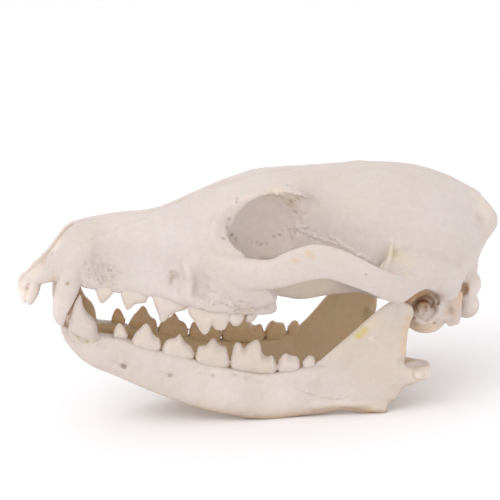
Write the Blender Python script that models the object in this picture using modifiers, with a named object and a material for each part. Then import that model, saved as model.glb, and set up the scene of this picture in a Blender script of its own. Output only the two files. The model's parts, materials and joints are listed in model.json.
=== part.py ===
"""Skull of a dog-like animal, with its lower jaw lying loose under it, at life size.

Two frames are used while the bones are shaped. In each, x runs back along the tooth row,
z goes up and y goes out to the side. The skull's frame starts at the front of the upper
jaw, the lower jaw's at the front of the chin. Both are in millimetres, and both are pitched
nose up in the world, where the nose points to -X and the skull's left side to -Y.
"""
import math

import bmesh
import bpy
import numpy as np
from mathutils import Matrix, Vector

MM = 0.001
NOSE_UP = math.radians(12.2)
SKULL_PLACE = (-92.9, 0.0, 60.4)
JAW_PLACE = (-80.8, 0.0, 40.15)
GAP = 0.3

# Where the cuts between the pieces run, and how fine the skin is
FACE_END = 96.0
ARCH_FRONT = 84.0
ARCH_REAR = 137.5
ARCH_INNER = 31.0
BAR_STEP = 2.0
BAR_SIDES = 32
BENT_SIDES = 14
BENT_SQUARE = 2.3
BALL_SIDES = 20
HOLLOW_SIDES = 32
BONE_VOXEL = 0.9
EASE = 0.5
EASE_ROUNDS = 3
LAST_ROUNDS = 2
PATH_STEPS = 4
TINY = 1e-9
MIDLINE_SNAP = 0.35
FAR = 300.0
SKULL_TRIANGLES = 6800
JAW_TRIANGLES = 1650

# Roof of the skull in side view, from the nasal tip to the hind end (x, z)
ROOF = ((-4.5, 0.9), (-2.3, 3.7), (0.5, 7.9), (5.0, 13.0), (9.0, 19.9), (13.4, 26.6), (20.3, 29.8),
        (34.3, 33.6), (43.8, 35.4), (48.4, 37.0), (57.5, 42.3), (66.6, 47.0), (75.8, 51.0),
        (85.0, 54.4), (94.6, 56.6), (104.1, 58.8), (118.5, 61.2), (133.1, 63.0), (142.8, 63.6),
        (152.9, 62.8), (163.2, 60.4), (173.9, 56.2), (180.3, 52.8), (185.6, 47.4))

# Snout and palate: half width, height of the widest level, underside, and how square
# the upper and lower halves of the section are
SNOUT_WIDTH = ((-4.5, 6.0), (-2.0, 8.0), (3.0, 10.4), (9.0, 13.2), (15.0, 15.4), (20.0, 15.3),
               (27.0, 13.4), (36.0, 14.0), (48.0, 17.0), (56.0, 20.5), (63.0, 24.8),
               (70.0, 28.0), (78.0, 29.2), (88.0, 27.5), (95.0, 23.0))
SNOUT_WIDEST = ((-4.5, 0.4), (5.0, 5.6), (20.0, 10.0), (40.0, 9.0), (63.0, 11.0), (78.0, 12.0),
                (95.0, 10.0))
SNOUT_UNDER = ((-4.5, -0.2), (0.0, 0.0), (4.0, 1.7), (10.2, 4.2), (20.7, 5.6), (27.2, 3.6),
               (48.2, 3.8), (63.0, 3.0), (79.5, 3.6), (95.0, 5.0))
SNOUT_TOP = ROOF[:11] + ((66.0, 46.6), (72.0, 47.5), (78.0, 43.0), (84.0, 31.0), (95.0, 15.0))
SNOUT_UPPER_SQUARE = ((-4.5, 2.2), (30.0, 2.7), (48.0, 2.3), (63.0, 1.75), (78.0, 1.8), (95.0, 2.0))
SNOUT_LOWER_SQUARE = ((0.0, 3.2), (95.0, 3.6))

# Forehead and braincase
CASE_WIDTH = ((46.0, 5.0), (58.0, 11.5), (66.0, 15.5), (74.0, 18.4), (84.0, 20.4), (92.0, 21.2),
              (98.0, 20.0), (104.0, 17.6), (110.0, 17.0), (116.0, 19.4), (124.0, 24.4),
              (134.0, 28.8), (146.0, 30.2), (156.0, 29.6), (164.0, 26.6), (171.0, 21.5),
              (177.0, 15.0), (185.6, 5.0))
CASE_WIDEST = ((46.0, 22.0), (60.0, 34.0), (72.0, 42.0), (84.0, 48.6), (92.0, 50.4), (98.0, 49.6),
               (108.0, 43.0), (120.0, 37.0), (140.0, 34.0), (160.0, 31.0), (176.0, 35.0), (185.6, 44.0))
CASE_UNDER = ((46.0, 12.0), (72.0, 11.0), (95.0, 12.0), (112.0, 13.0), (125.0, 11.5),
              (140.0, 9.0), (160.0, 7.5), (170.0, 9.0), (175.0, 16.0), (178.0, 27.0), (181.0, 37.0),
              (185.6, 41.4))
CASE_UPPER_SQUARE = ((46.0, 2.0), (72.0, 2.2), (98.0, 2.4), (125.0, 2.15), (185.6, 2.2))
CASE_LOWER_SQUARE = ((46.0, 2.0), (72.0, 1.9), (95.0, 1.9), (108.0, 1.9), (125.0, 2.0),
                     (150.0, 2.5), (185.6, 2.2))

# Bent pieces of the left half as stations: x, y, z, half height, half thickness
ZYGOMATIC_ARCH = ((64.0, 19.0, 17.5, 8.0, 4.0), (76.0, 29.0, 20.0, 7.2, 4.4),
                  (84.0, 35.2, 21.4, 6.3, 3.8), (92.0, 40.6, 24.0, 5.9, 3.1),
                  (98.0, 44.4, 28.1, 6.5, 2.8), (105.5, 48.2, 32.0, 7.0, 2.6),
                  (112.0, 50.6, 32.6, 6.4, 2.5), (118.0, 52.0, 31.2, 6.1, 2.5),
                  (126.0, 53.0, 28.8, 5.4, 2.6), (134.0, 50.8, 25.8, 5.4, 3.4),
                  (141.0, 44.5, 23.4, 5.8, 5.0), (147.0, 35.0, 23.0, 6.0, 7.0),
                  (151.0, 25.0, 23.0, 6.0, 7.0))
CHEEK_WEB = ((60.0, 18.0, 9.6, 4.0, 2.0), (74.0, 27.0, 10.6, 6.8, 3.2), (84.0, 31.0, 11.8, 7.4, 3.4),
             (89.0, 32.8, 13.2, 6.4, 3.0), (92.8, 35.0, 15.2, 4.2, 2.4))
CHEEK_WEB_UP = (0, 0.55, 0.84)
ORBIT_RIM = ((80.0, 30.0, 24.8, 2.4, 3.2), (76.0, 26.4, 26.4, 2.4, 3.4), (72.4, 23.2, 29.2, 2.2, 3.6),
             (71.2, 20.2, 33.0, 1.7, 3.4), (71.6, 18.0, 37.2, 1.5, 3.0), (73.4, 16.6, 41.6, 1.3, 2.2),
             (76.2, 16.2, 45.8, 1.1, 1.2))
ARCH_SWEEP = ((134.0, 43.0, 27.0, 1.6, 3.0), (136.0, 36.5, 30.2, 1.3, 3.4),
              (137.4, 31.5, 34.6, 1.0, 2.6), (138.0, 28.6, 38.2, 0.7, 1.4))
TEMPORAL_SHELF = ((139.0, 44.0, 23.0, 5.2, 4.0), (147.0, 37.6, 24.4, 5.0, 4.6),
                  (155.0, 32.0, 25.4, 5.4, 5.0), (163.0, 27.8, 24.0, 6.4, 4.6),
                  (167.0, 25.4, 24.0, 6.0, 4.0))
SHELF_SLOPE = ((134.6, 40.6, 27.4, 1.8, 4.0), (140.0, 36.8, 29.0, 2.4, 6.4),
               (147.0, 33.6, 30.2, 2.6, 7.6), (155.0, 30.0, 30.4, 2.6, 7.8),
               (163.0, 26.6, 28.8, 2.4, 6.4), (168.0, 24.6, 27.0, 1.6, 4.0))
SHELF_SLOPE_UP = (0, 0.6, 0.8)
JAW_SOCKET_LIP = ((141.0, 46.5, 21.0, 2.6, 3.0), (144.6, 40.5, 20.2, 2.8, 3.6),
                  (147.0, 34.0, 19.0, 3.2, 3.4), (148.0, 28.0, 17.1, 3.4, 3.0))
POSTORBITAL = ((88.0, 13.0, 51.6, 2.6, 6.0), (96.0, 19.0, 51.4, 2.5, 5.0),
               (100.5, 22.6, 50.8, 1.8, 3.0), (103.4, 24.2, 50.2, 1.0, 1.6))
ALVEOLAR_RIM = ((20.0, 12.8, 7.6, 3.6, 2.6), (34.0, 12.8, 6.4, 3.5, 2.3), (50.0, 16.6, 7.2, 3.6, 2.6),
                (60.0, 21.4, 6.6, 3.8, 3.2), (70.0, 25.8, 6.0, 3.8, 3.4), (80.0, 26.6, 6.2, 3.8, 3.6),
                (88.0, 25.8, 6.8, 4.2, 3.4), (93.0, 25.4, 7.4, 4.2, 3.2), (95.4, 24.6, 8.4, 4.0, 2.6))
PTERYGOID_PLATE = ((86.0, 10.0, 10.5, 5.6, 2.2), (97.0, 9.4, 12.2, 5.6, 1.6),
                   (108.0, 9.2, 11.8, 6.0, 1.4), (119.0, 9.6, 14.2, 5.4, 1.3),
                   (132.0, 10.4, 16.0, 4.2, 1.8))
NUCHAL_CREST = ((184.6, 0.0, 43.8, 3.8, 2.2), (181.4, 6.5, 42.0, 3.2, 2.2),
                (177.0, 12.5, 38.2, 2.8, 2.0), (172.8, 18.5, 33.2, 2.8, 2.0),
                (169.2, 23.6, 28.2, 3.0, 2.2), (166.0, 26.8, 23.0, 3.4, 2.6),
                (164.4, 27.6, 17.6, 3.2, 2.4))
PAROCCIPITAL = ((166.0, 22.6, 19.0, 5.0, 3.4), (166.2, 24.6, 13.0, 4.8, 2.6),
                (167.6, 24.6, 9.0, 3.8, 2.0), (169.0, 24.2, 5.4, 2.4, 1.3))
MASTOID = ((161.6, 24.8, 16.0, 2.8, 3.0), (161.8, 25.8, 10.4, 2.4, 2.3), (162.0, 25.4, 5.6, 1.7, 1.3))
EAR_TUBE = ((157.0, 18.0, 11.0, 3.6, 3.6), (155.2, 24.0, 12.0, 2.8, 2.8),
            (154.8, 28.2, 12.4, 2.6, 2.6))
EAR_LIP = ((148.6, 25.0, 11.4, 1.2, 1.6), (151.0, 27.4, 8.4, 1.5, 1.6), (155.0, 28.2, 6.6, 1.6, 1.6),
           (159.0, 27.8, 8.0, 1.6, 1.6), (161.4, 26.8, 12.0, 1.5, 1.8), (161.0, 26.4, 16.0, 1.5, 1.8))

# Round masses: centre and radii, left half
SKULL_BALLS = (
    ((158.2, 16.5, 8.0), (9.8, 8.8, 9.1)),
    ((156.0, 21.5, 13.0), (9.0, 6.0, 7.0)),
    ((175.6, 11.6, 11.0), (5.8, 6.2, 5.6)),
    ((173.6, 12.5, 20.0), (7.0, 7.5, 6.4)),
    ((163.0, 26.4, 19.0), (4.0, 3.6, 5.0)),
    ((166.6, 0.0, 26.0), (14.0, 21.0, 13.0)),
)

# Hollows cut into the left half and the midline: centre, radii, pitch and turn in degrees
SKULL_HOLLOWS = (
    ((91.6, 28.0, 34.0), (21.5, 15.5, 19.0), 40, 4),
    ((3.4, 0.0, 14.8), (17.5, 3.8, 6.6), 37, 0),
    ((184.0, 0.0, 15.6), (9.0, 7.2, 6.2), 0, 0),
    ((154.8, 28.8, 12.6), (6.0, 5.6, 5.4), 0, 0),
    ((171.8, 22.0, 18.0), (2.4, 6.0, 5.0), 0, 0),
    ((58.0, 24.0, 13.8), (7.0, 2.6, 1.9), 0, 32),
    ((112.0, 0.0, 9.0), (21.0, 7.4, 6.6), -4, 0),
)

# Strokes on the bone, as a sculptor's: reach, height along the surface, path (x, y, z)
SKULL_STROKES = (
    (3.2, 0.9, ((99.0, 24.0, 51.0), (105.0, 19.0, 57.0), (114.0, 12.0, 61.0), (126.0, 6.0, 63.0),
                (140.0, 2.0, 64.6), (160.0, 0.5, 61.5), (176.0, 0.0, 55.0))),
    (5.0, -1.0, ((20.0, 0.0, 30.0), (40.0, 0.0, 35.0), (56.0, 0.0, 42.0), (72.0, 0.0, 50.0),
                 (88.0, 0.0, 57.0), (98.0, 0.0, 59.0))),
    (9.0, -0.9, ((30.0, 14.0, 16.0), (44.0, 15.0, 18.0), (54.0, 17.0, 22.0))),
    (5.0, -1.2, ((64.0, 25.0, 12.0), (69.0, 28.0, 13.0), (76.0, 30.0, 12.0))),
    (6.0, 0.6, ((15.0, 15.0, 7.0), (17.0, 14.5, 14.0), (21.0, 12.0, 20.0))),
    (4.6, 1.0, ((60.6, 23.0, 8.0), (60.6, 23.5, 14.0), (61.4, 21.5, 21.0))),
    (7.5, 1.4, ((67.5, 26.0, 26.0), (66.5, 22.5, 32.0), (67.0, 20.0, 37.0))),
    (4.6, 0.9, ((84.0, 31.0, 15.5), (90.0, 30.5, 12.5), (94.0, 28.6, 12.0))),
    (7.0, -0.8, ((107.0, 19.0, 47.0), (109.0, 19.0, 38.0), (111.0, 19.0, 28.0))),
    (7.0, 0.7, ((143.0, 30.0, 36.0), (150.0, 30.5, 36.5), (158.0, 29.0, 36.0), (164.0, 26.0, 34.0))),
    (3.4, -1.4, ((176.0, 9.0, 6.5), (168.0, 8.0, 5.0))),
    (9.0, -2.2, ((36.0, 0.0, 4.0), (60.0, 0.0, 4.0), (84.0, 0.0, 4.0))),
)

# Lower jaw body, from the chin to below the last tooth: middle of the bar, half
# thickness, lower border and tooth line
JAW_MIDDLE = ((-2.4, 3.6), (0.0, 5.0), (3.0, 6.2), (10.0, 8.9), (18.0, 9.9), (31.0, 12.0),
              (45.0, 15.2), (60.0, 18.3), (75.0, 21.6), (90.0, 24.2), (104.0, 27.6), (118.0, 31.0))
JAW_THICK = ((-2.4, 3.2), (1.0, 4.6), (6.0, 5.2), (14.0, 5.1), (24.0, 4.1), (45.0, 3.7), (75.0, 4.1),
             (95.0, 3.6), (118.0, 2.6))
JAW_UNDER = ((-2.4, 1.4), (-1.0, -2.0), (1.4, -4.9), (4.4, -7.8), (8.8, -10.5), (14.8, -13.0),
             (24.8, -15.8), (34.9, -18.9), (44.7, -21.0), (54.6, -22.9), (64.3, -23.9), (73.9, -24.2),
             (83.4, -23.5), (92.6, -21.2), (101.8, -18.3), (110.0, -15.4), (118.0, -13.8))
JAW_LINE = ((-2.4, 3.4), (2.0, 3.4), (8.0, 2.4), (14.0, 1.8), (20.6, 1.8), (31.9, -0.8),
            (45.9, -2.0), (59.7, -4.0), (76.0, -4.6), (89.6, -1.8), (97.8, 1.4), (105.0, 3.0),
            (118.0, -2.0))
CHIN_PLATE = ((3.8, 2.4, -2.8, 4.0, 3.4), (10.0, 3.2, -5.4, 4.4, 4.0), (20.0, 4.0, -9.4, 5.0, 4.6),
              (30.0, 4.4, -13.2, 4.4, 4.8), (36.0, 6.0, -16.0, 3.0, 3.4))

# Ramus: front and hind edge of each level z, and its middle and half thickness
RAMUS_FRONT = ((-15.0, 104.0), (-8.0, 94.0), (0.0, 96.5), (4.2, 100.3), (14.1, 108.3),
               (24.7, 116.4), (32.0, 122.6), (34.0, 125.6))
RAMUS_HIND = ((-15.0, 122.0), (-12.0, 127.4), (-9.0, 129.8), (-7.0, 132.2), (-3.6, 133.6),
              (0.0, 135.4), (4.0, 135.6), (11.2, 133.0), (22.6, 132.4), (30.6, 133.0), (32.6, 131.6),
              (34.0, 128.4))
JAW_SQUARE = 2.6
JAW_TOP_SQUARE = 3.8
RAMUS_START = 97.0
RAMUS_OUT = 25.2
RAMUS_SPREAD = 0.24
RAMUS_LEAN = 0.10
RAMUS_LEVELS = 26
RAMUS_SIDES = 28
RAMUS_HALF = ((-15.0, 1.6), (-4.0, 2.3), (8.0, 2.3), (20.0, 2.1), (34.0, 1.7))
CONDYLE = ((143.4, 24.4, 4.6, 2.2, 2.2), (142.6, 28.0, 4.8, 2.9, 2.8), (140.8, 35.0, 5.2, 2.9, 3.1),
           (139.0, 38.6, 5.2, 2.2, 3.2), (138.0, 40.6, 5.0, 1.1, 2.2))
CONDYLE_NECK = ((127.0, 32.8, 1.5, 7.0, 2.4), (134.0, 33.6, 3.0, 4.8, 3.0),
                (139.4, 34.2, 4.6, 3.2, 4.0))
NECK_RIDGE = ((128.0, 31.6, 9.0, 3.0, 1.4), (134.6, 28.4, 7.0, 2.0, 1.3), (143.6, 26.4, 6.2, 1.6, 1.3))
ANGULAR_HOOK = ((108.0, 29.0, -10.4, 3.6, 2.4), (118.0, 31.2, -11.0, 3.0, 2.4),
                (124.5, 32.2, -11.3, 2.8, 2.4), (128.8, 32.9, -11.4, 2.3, 1.8))
JAW_STROKES = (
    (10.0, -1.4, ((112.0, 33.0, 2.0), (118.0, 34.5, 8.0), (123.0, 36.5, 18.0))),
    (3.0, 0.9, ((99.0, 30.0, -2.0), (107.0, 33.0, 10.0), (116.0, 36.0, 22.0), (122.0, 38.0, 30.0))),
    (3.0, 0.7, ((100.0, 30.0, -14.5), (110.0, 32.5, -12.0), (120.0, 34.5, -10.0))),
    (8.0, -1.0, ((100.0, 24.0, -8.0), (112.0, 28.0, -6.0), (122.0, 30.0, -2.0))),
    (3.6, -1.3, ((132.0, 36.0, 8.6), (137.0, 34.0, 8.4), (142.0, 31.0, 8.2))),
)

# Cheek teeth of the left half as blades: outline of the biting edge (x, z), y of the middle at
# the front and hind end, and half width
UPPER_BLADES = (
    (((25.7, 3.2), (26.9, 0.5), (27.8, -1.3), (29.0, -1.8), (30.3, -0.4), (32.6, 3.0)),
     13.0, 13.4, 2.1),
    (((35.7, 3.2), (36.7, 0.2), (37.9, -2.1), (39.0, -3.4), (40.6, -1.8), (42.0, -0.4),
      (45.7, 0.6), (46.6, 3.2)), 13.8, 15.0, 2.4),
    (((47.8, 4.0), (49.4, 0.3), (51.3, -3.5), (52.4, -6.3), (53.6, -5.9), (56.2, -2.6),
      (57.7, -1.2), (61.8, 0.8), (62.6, 3.0)), 16.2, 20.0, 2.8),
    (((61.6, 3.6), (62.4, 0.4), (65.2, -3.0), (67.9, -6.5), (69.4, -7.6), (70.8, -6.8),
      (72.0, -3.4), (73.0, -4.4), (74.6, -5.0), (77.0, -4.3), (78.0, -1.9), (78.4, 1.6)),
     22.6, 26.8, 3.2),
    (((78.0, 1.5), (78.5, -0.9), (81.0, -2.7), (82.8, -2.2), (83.7, -0.2), (84.2, 1.6)),
     26.0, 25.6, 3.6),
    (((84.6, 2.6), (85.2, -0.6), (86.9, -1.2), (88.3, -0.6), (89.8, 2.6)), 24.4, 22.8, 3.2),
)
LOWER_BLADES = (
    (((18.6, 1.4), (18.9, 4.8), (20.4, 7.5), (21.5, 7.1), (23.4, 4.8), (24.4, 1.4)),
     10.4, 10.8, 2.1),
    (((26.0, -0.6), (26.4, 2.4), (29.1, 6.7), (31.0, 8.9), (32.5, 8.1), (33.9, 5.7),
      (37.3, 1.0), (37.7, -0.8)), 11.8, 13.6, 2.6),
    (((38.4, -1.4), (38.9, 2.2), (43.0, 5.3), (44.7, 6.3), (46.0, 4.7), (49.6, 0.2),
      (51.0, -1.8), (51.3, -3.2)), 14.0, 16.4, 2.8),
    (((51.8, -2.4), (52.2, 0.2), (55.6, 3.4), (57.1, 5.9), (58.3, 6.8), (61.3, 4.6),
      (63.1, 2.8), (64.4, 0.0), (65.6, -4.2)), 16.8, 19.0, 3.0),
    (((65.8, -2.0), (66.0, 3.6), (67.3, 6.8), (68.8, 6.2), (70.3, 4.6), (72.1, 6.8),
      (74.8, 8.6), (76.4, 7.4), (77.9, 3.1), (79.8, 2.2), (81.6, 2.9), (84.0, -0.6),
      (84.3, -3.2)), 19.8, 22.6, 3.5),
    (((84.4, -2.2), (84.6, 1.6), (87.1, 4.6), (88.9, 3.9), (91.2, 3.9), (92.8, 2.3),
      (93.3, -0.6)), 22.8, 23.8, 3.1),
    (((93.9, 0.0), (94.4, 2.9), (96.5, 5.1), (98.2, 4.4), (99.4, 0.6)), 24.4, 25.2, 2.4),
)
BLADE_ROOT = 3.8
BLADE_BULGE = 0.3
BLADE_SQUARE = 1.5
BLADE_ROOT_SQUARE = 1.7
BLADE_PLAN = 2.8
BLADE_END = 0.4
BLADE_SIDES = 8

# Canines of the left half as stations: x, y, z, half length, half width
UPPER_CANINE = ((18.4, 10.8, 17.0, 3.4, 2.4), (16.0, 12.8, 10.0, 4.2, 3.0),
                (14.6, 13.8, 4.2, 4.7, 3.4), (13.4, 13.9, -1.2, 4.1, 3.1),
                (12.5, 14.2, -6.2, 3.1, 2.5), (12.9, 14.4, -9.4, 2.2, 1.9),
                (13.9, 14.4, -11.9, 0.8, 0.8))
LOWER_CANINE = ((9.0, 9.4, -4.5, 4.6, 3.2), (7.2, 10.0, 1.0, 5.6, 3.8), (5.6, 11.4, 5.4, 5.6, 3.7),
                (3.8, 12.2, 9.6, 3.7, 3.0), (3.1, 12.6, 14.0, 2.2, 2.1),
                (3.7, 12.8, 18.3, 0.6, 0.6))
CANINE_SIDES = 10

# Incisors and inner cusps of the molars: x, y and z of the foot, lean of the tip in x and y,
# height, half length and half width
ROOT_DEPTH = 2.2
ROOT_SIZE = 0.5
CUSP_SIDES = 7
CUSP_FORM = ((0.12, 1.0), (0.6, 0.82), (1.0, 0.36))
UPPER_CUSPS = (
    (-2.8, 2.1, 0.8, 0.6, 0.0, 7.6, 2.0, 2.0), (-2.5, 5.6, 0.8, 0.6, 0.2, 7.6, 2.2, 2.2),
    (1.8, 8.6, 1.4, -1.5, 0.2, 7.6, 2.5, 2.4),
    (65.4, 20.8, 5.0, 0.2, -0.2, 6.4, 2.6, 2.6), (82.6, 20.4, 5.0, 0.0, 0.0, 5.2, 3.4, 4.6),
    (88.4, 19.2, 5.4, 0.0, 0.0, 4.0, 2.4, 3.2),
)
LOWER_CUSPS = (
    (1.2, 1.9, 3.0, -1.4, 0.0, 5.0, 1.5, 1.5), (1.8, 4.8, 3.0, -1.2, 0.2, 5.0, 1.6, 1.6),
    (3.2, 7.4, 2.4, -1.2, 0.3, 4.6, 1.7, 1.6),
)

BONE_COLOUR = (0.80, 0.72, 0.65, 1.0)
BONE_ROUGHNESS = 0.5


def along(knots, x):
    """Value of a smooth curve through (x, value) knots that never overshoots them."""
    at, value = np.array(knots, float).T
    slope = np.diff(value) / np.diff(at)
    product = slope[1:] * slope[:-1]
    total = np.where(np.abs(slope[1:] + slope[:-1]) < TINY, 1.0, slope[1:] + slope[:-1])
    inner = np.where(product > 0.0, 2.0 * product / total, 0.0)
    lean = np.concatenate(([slope[0]], inner, [slope[-1]]))
    x = np.clip(x, at[0], at[-1])
    i = np.clip(np.searchsorted(at, x, side="right") - 1, 0, len(slope) - 1)
    span = at[i + 1] - at[i]
    t = (x - at[i]) / span
    rise = value[i + 1] - value[i]
    return (value[i] + span * lean[i] * t * (1 - t) ** 2 - span * lean[i + 1] * t ** 2 * (1 - t)
            + rise * t * t * (3 - 2 * t))


def level_curve(value):
    """Knots of a curve that has one value everywhere."""
    return (0.0, value), (1.0, value)


def smooth_path(points, steps):
    """Rows of a Catmull-Rom curve through rows of numbers, with steps to each stretch."""
    rows = np.array(points, float)
    rows = np.vstack((2 * rows[0] - rows[1], rows, 2 * rows[-1] - rows[-2]))
    out = []
    for i in range(1, len(rows) - 2):
        a, b, c, d = rows[i - 1:i + 3]
        for t in np.arange(steps) / steps:
            out.append(0.5 * (2 * b + (c - a) * t + (2 * a - 5 * b + 4 * c - d) * t ** 2
                              + (3 * b - a - 3 * c + d) * t ** 3))
    return np.array(out + [rows[-2]])


def add_rings(shape, rings):
    """Add a closed skin over a row of rings, each with the same number of points."""
    loops = [[shape.verts.new(Vector(point) * MM) for point in ring] for ring in rings]
    for ring, following in zip(loops, loops[1:]):
        for i in range(len(ring)):
            j = (i + 1) % len(ring)
            shape.faces.new((ring[i], ring[j], following[j], following[i]))
    shape.faces.new(loops[0])
    shape.faces.new(loops[-1])


def section(angle, upper, lower):
    """Unit outline with its own squareness above and below: sideways and upward parts."""
    side, rise = np.cos(angle), np.sin(angle)
    power = 2.0 / np.where(rise > 0, upper, lower)
    return np.sign(side) * np.abs(side) ** power, np.sign(rise) * np.abs(rise) ** power


def add_bar(shape, middle, half, widest, under, top, upper, lower):
    """Add a loft along x, as long as its width curve, whose sections are curves of x."""
    start, end = half[0][0], half[-1][0]
    angle = np.arange(BAR_SIDES) * 2 * math.pi / BAR_SIDES
    rings = []
    for x in np.linspace(start, end, int((end - start) / BAR_STEP) + 1):
        level = along(widest, x)
        out, rise = section(angle, along(upper, x), along(lower, x))
        height = np.where(rise > 0, along(top, x) - level, level - along(under, x))
        rings.append(np.column_stack((np.full(BAR_SIDES, x),
                                      along(middle, x) + along(half, x) * out,
                                      level + height * rise)))
    add_rings(shape, rings)


def add_bent(shape, stations, side, up=(0, 0, 1), steps=PATH_STEPS, sides=BENT_SIDES):
    """Add a bent piece with an oval section through stations of the left half."""
    rows = smooth_path(stations, steps)
    tangent = np.gradient(rows[:, :3], axis=0)
    tangent /= np.linalg.norm(tangent, axis=1)[:, None]
    out = np.cross(tangent, up)
    out /= np.linalg.norm(out, axis=1)[:, None]
    rise = np.cross(out, tangent)
    angle = np.arange(sides) * 2 * math.pi / sides
    across, over = section(angle, BENT_SQUARE, BENT_SQUARE)
    rings = []
    for row, o, r in zip(rows, out, rise):
        ring = row[:3] + np.outer(across * row[4], o) + np.outer(over * row[3], r)
        rings.append(ring * (1, side, 1))
    add_rings(shape, rings)


def add_ball(shape, centre, radii, side=1, pitch=0, turn=0, sides=BALL_SIDES):
    """Add an ellipsoid. Pitch turns it nose up, and turn swings it outwards."""
    place = (Matrix.Translation(Vector(centre) * MM) @ Matrix.Rotation(math.radians(turn), 4, "Z")
             @ Matrix.Rotation(math.radians(-pitch), 4, "Y")
             @ Matrix.Diagonal((*(Vector(radii) * MM), 1)))
    mirror = Matrix.Scale(side, 4, (0, 1, 0))
    bmesh.ops.create_uvsphere(shape, u_segments=sides, v_segments=sides // 2, radius=1.0,
                              matrix=mirror @ place)


def finish_shape(shape, name, collection):
    """Turn a bmesh into an object, with its faces pointing out."""
    bmesh.ops.recalc_face_normals(shape, faces=shape.faces)
    mesh = bpy.data.meshes.new(name)
    shape.to_mesh(mesh)
    shape.free()
    made = bpy.data.objects.new(name, mesh)
    collection.objects.link(made)
    return made


def bake(made):
    """Apply the object's modifiers to its mesh."""
    graph = bpy.context.evaluated_depsgraph_get()
    mesh = bpy.data.meshes.new_from_object(made.evaluated_get(graph))
    made.modifiers.clear()
    made.data = mesh


def remesh(made, voxel, rounds):
    """Fuse all that overlaps in the mesh into one skin, and ease its creases."""
    fuse = made.modifiers.new("fuse", "REMESH")
    fuse.mode = "VOXEL"
    fuse.voxel_size = voxel * MM
    ease = made.modifiers.new("ease", "SMOOTH")
    ease.factor = EASE
    ease.iterations = rounds
    bake(made)


def combine(made, operation, others):
    """Join, cut or cross the object with every object of a collection."""
    step = made.modifiers.new("combine", "BOOLEAN")
    step.operation = operation
    step.solver = "MANIFOLD"
    step.operand_type = "COLLECTION"
    step.collection = others
    bake(made)


def drop_all(collection):
    """Remove a collection and the objects in it."""
    for made in list(collection.objects):
        bpy.data.objects.remove(made)
    bpy.data.collections.remove(collection)


def new_group(name):
    """New collection in the scene."""
    group = bpy.data.collections.new(name)
    bpy.context.scene.collection.children.link(group)
    return group


def keep_largest(made):
    """Keep only the largest closed surface of a mesh."""
    shape = bmesh.new()
    shape.from_mesh(made.data)
    unseen = set(shape.verts)
    pieces = []
    while unseen:
        front = [unseen.pop()]
        piece = set(front)
        while front:
            for edge in front.pop().link_edges:
                for vertex in edge.verts:
                    if vertex in unseen:
                        unseen.remove(vertex)
                        piece.add(vertex)
                        front.append(vertex)
        pieces.append(piece)
    pieces.sort(key=len)
    for piece in pieces[:-1]:
        bmesh.ops.delete(shape, geom=list(piece), context="VERTS")
    shape.to_mesh(made.data)
    shape.free()


def sculpt(made, strokes):
    """Raise ridges and press hollows along paths, alike on both halves."""
    mesh = made.data
    count = len(mesh.vertices)
    place = np.empty(count * 3)
    normal = np.empty(count * 3)
    mesh.vertices.foreach_get("co", place)
    mesh.vertices.foreach_get("normal", normal)
    place = place.reshape(-1, 3)
    normal = normal.reshape(-1, 3)
    left = np.column_stack((place[:, 0], np.abs(place[:, 1]), place[:, 2])) / MM
    lift = np.zeros(count)
    for reach, height, path in strokes:
        points = smooth_path(path, PATH_STEPS)
        nearest = np.full(count, np.inf)
        for a, b in zip(points, points[1:]):
            line = b - a
            t = np.clip((left - a) @ line / (line @ line), 0, 1)
            nearest = np.minimum(nearest, np.linalg.norm(left - a - t[:, None] * line, axis=1))
        near = np.clip(1 - nearest / reach, 0, 1)
        lift += height * near * near * (3 - 2 * near)
    place += normal * lift[:, None] * MM
    mesh.vertices.foreach_set("co", place.ravel())
    mesh.update()


def thin_out(made, triangles):
    """Cut the number of faces, alike on both halves of a mesh that is even about y = 0."""
    shape = bmesh.new()
    shape.from_mesh(made.data)
    everything = shape.verts[:] + shape.edges[:] + shape.faces[:]
    bmesh.ops.bisect_plane(shape, geom=everything, plane_co=(0, 0, 0), plane_no=(0, 1, 0),
                           clear_outer=True)
    bmesh.ops.triangulate(shape, faces=shape.faces)
    half = len(shape.faces)
    shape.to_mesh(made.data)
    shape.free()
    reduce_faces(made, triangles / 2 / half)
    for vertex in made.data.vertices:
        if abs(vertex.co.y) < MIDLINE_SNAP * MM:
            vertex.co.y = 0.0
    mirror = made.modifiers.new("mirror", "MIRROR")
    mirror.use_axis = (False, True, False)
    bake(made)


def reduce_faces(made, ratio):
    """Collapse edges until this share of the faces is left."""
    fewer = made.modifiers.new("fewer", "DECIMATE")
    fewer.ratio = ratio
    bake(made)


def add_cusp(shape, cusp, side, down):
    """Add one blunt cusp, from a root inside the bone to a rounded tip."""
    x, y, z, lean_x, lean_y, height, length, width = cusp
    angle = (np.arange(CUSP_SIDES) + 0.5) * 2 * math.pi / CUSP_SIDES
    rings = []
    for level, size in ((-ROOT_DEPTH / height, ROOT_SIZE),) + CUSP_FORM:
        shift = max(level, 0.0)
        rings.append(np.column_stack((x + lean_x * shift + length * size * np.cos(angle),
                                      (y + lean_y * shift + width * size * np.sin(angle)) * side,
                                      np.full(CUSP_SIDES, z - down * level * height))))
    add_rings(shape, rings)


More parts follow.
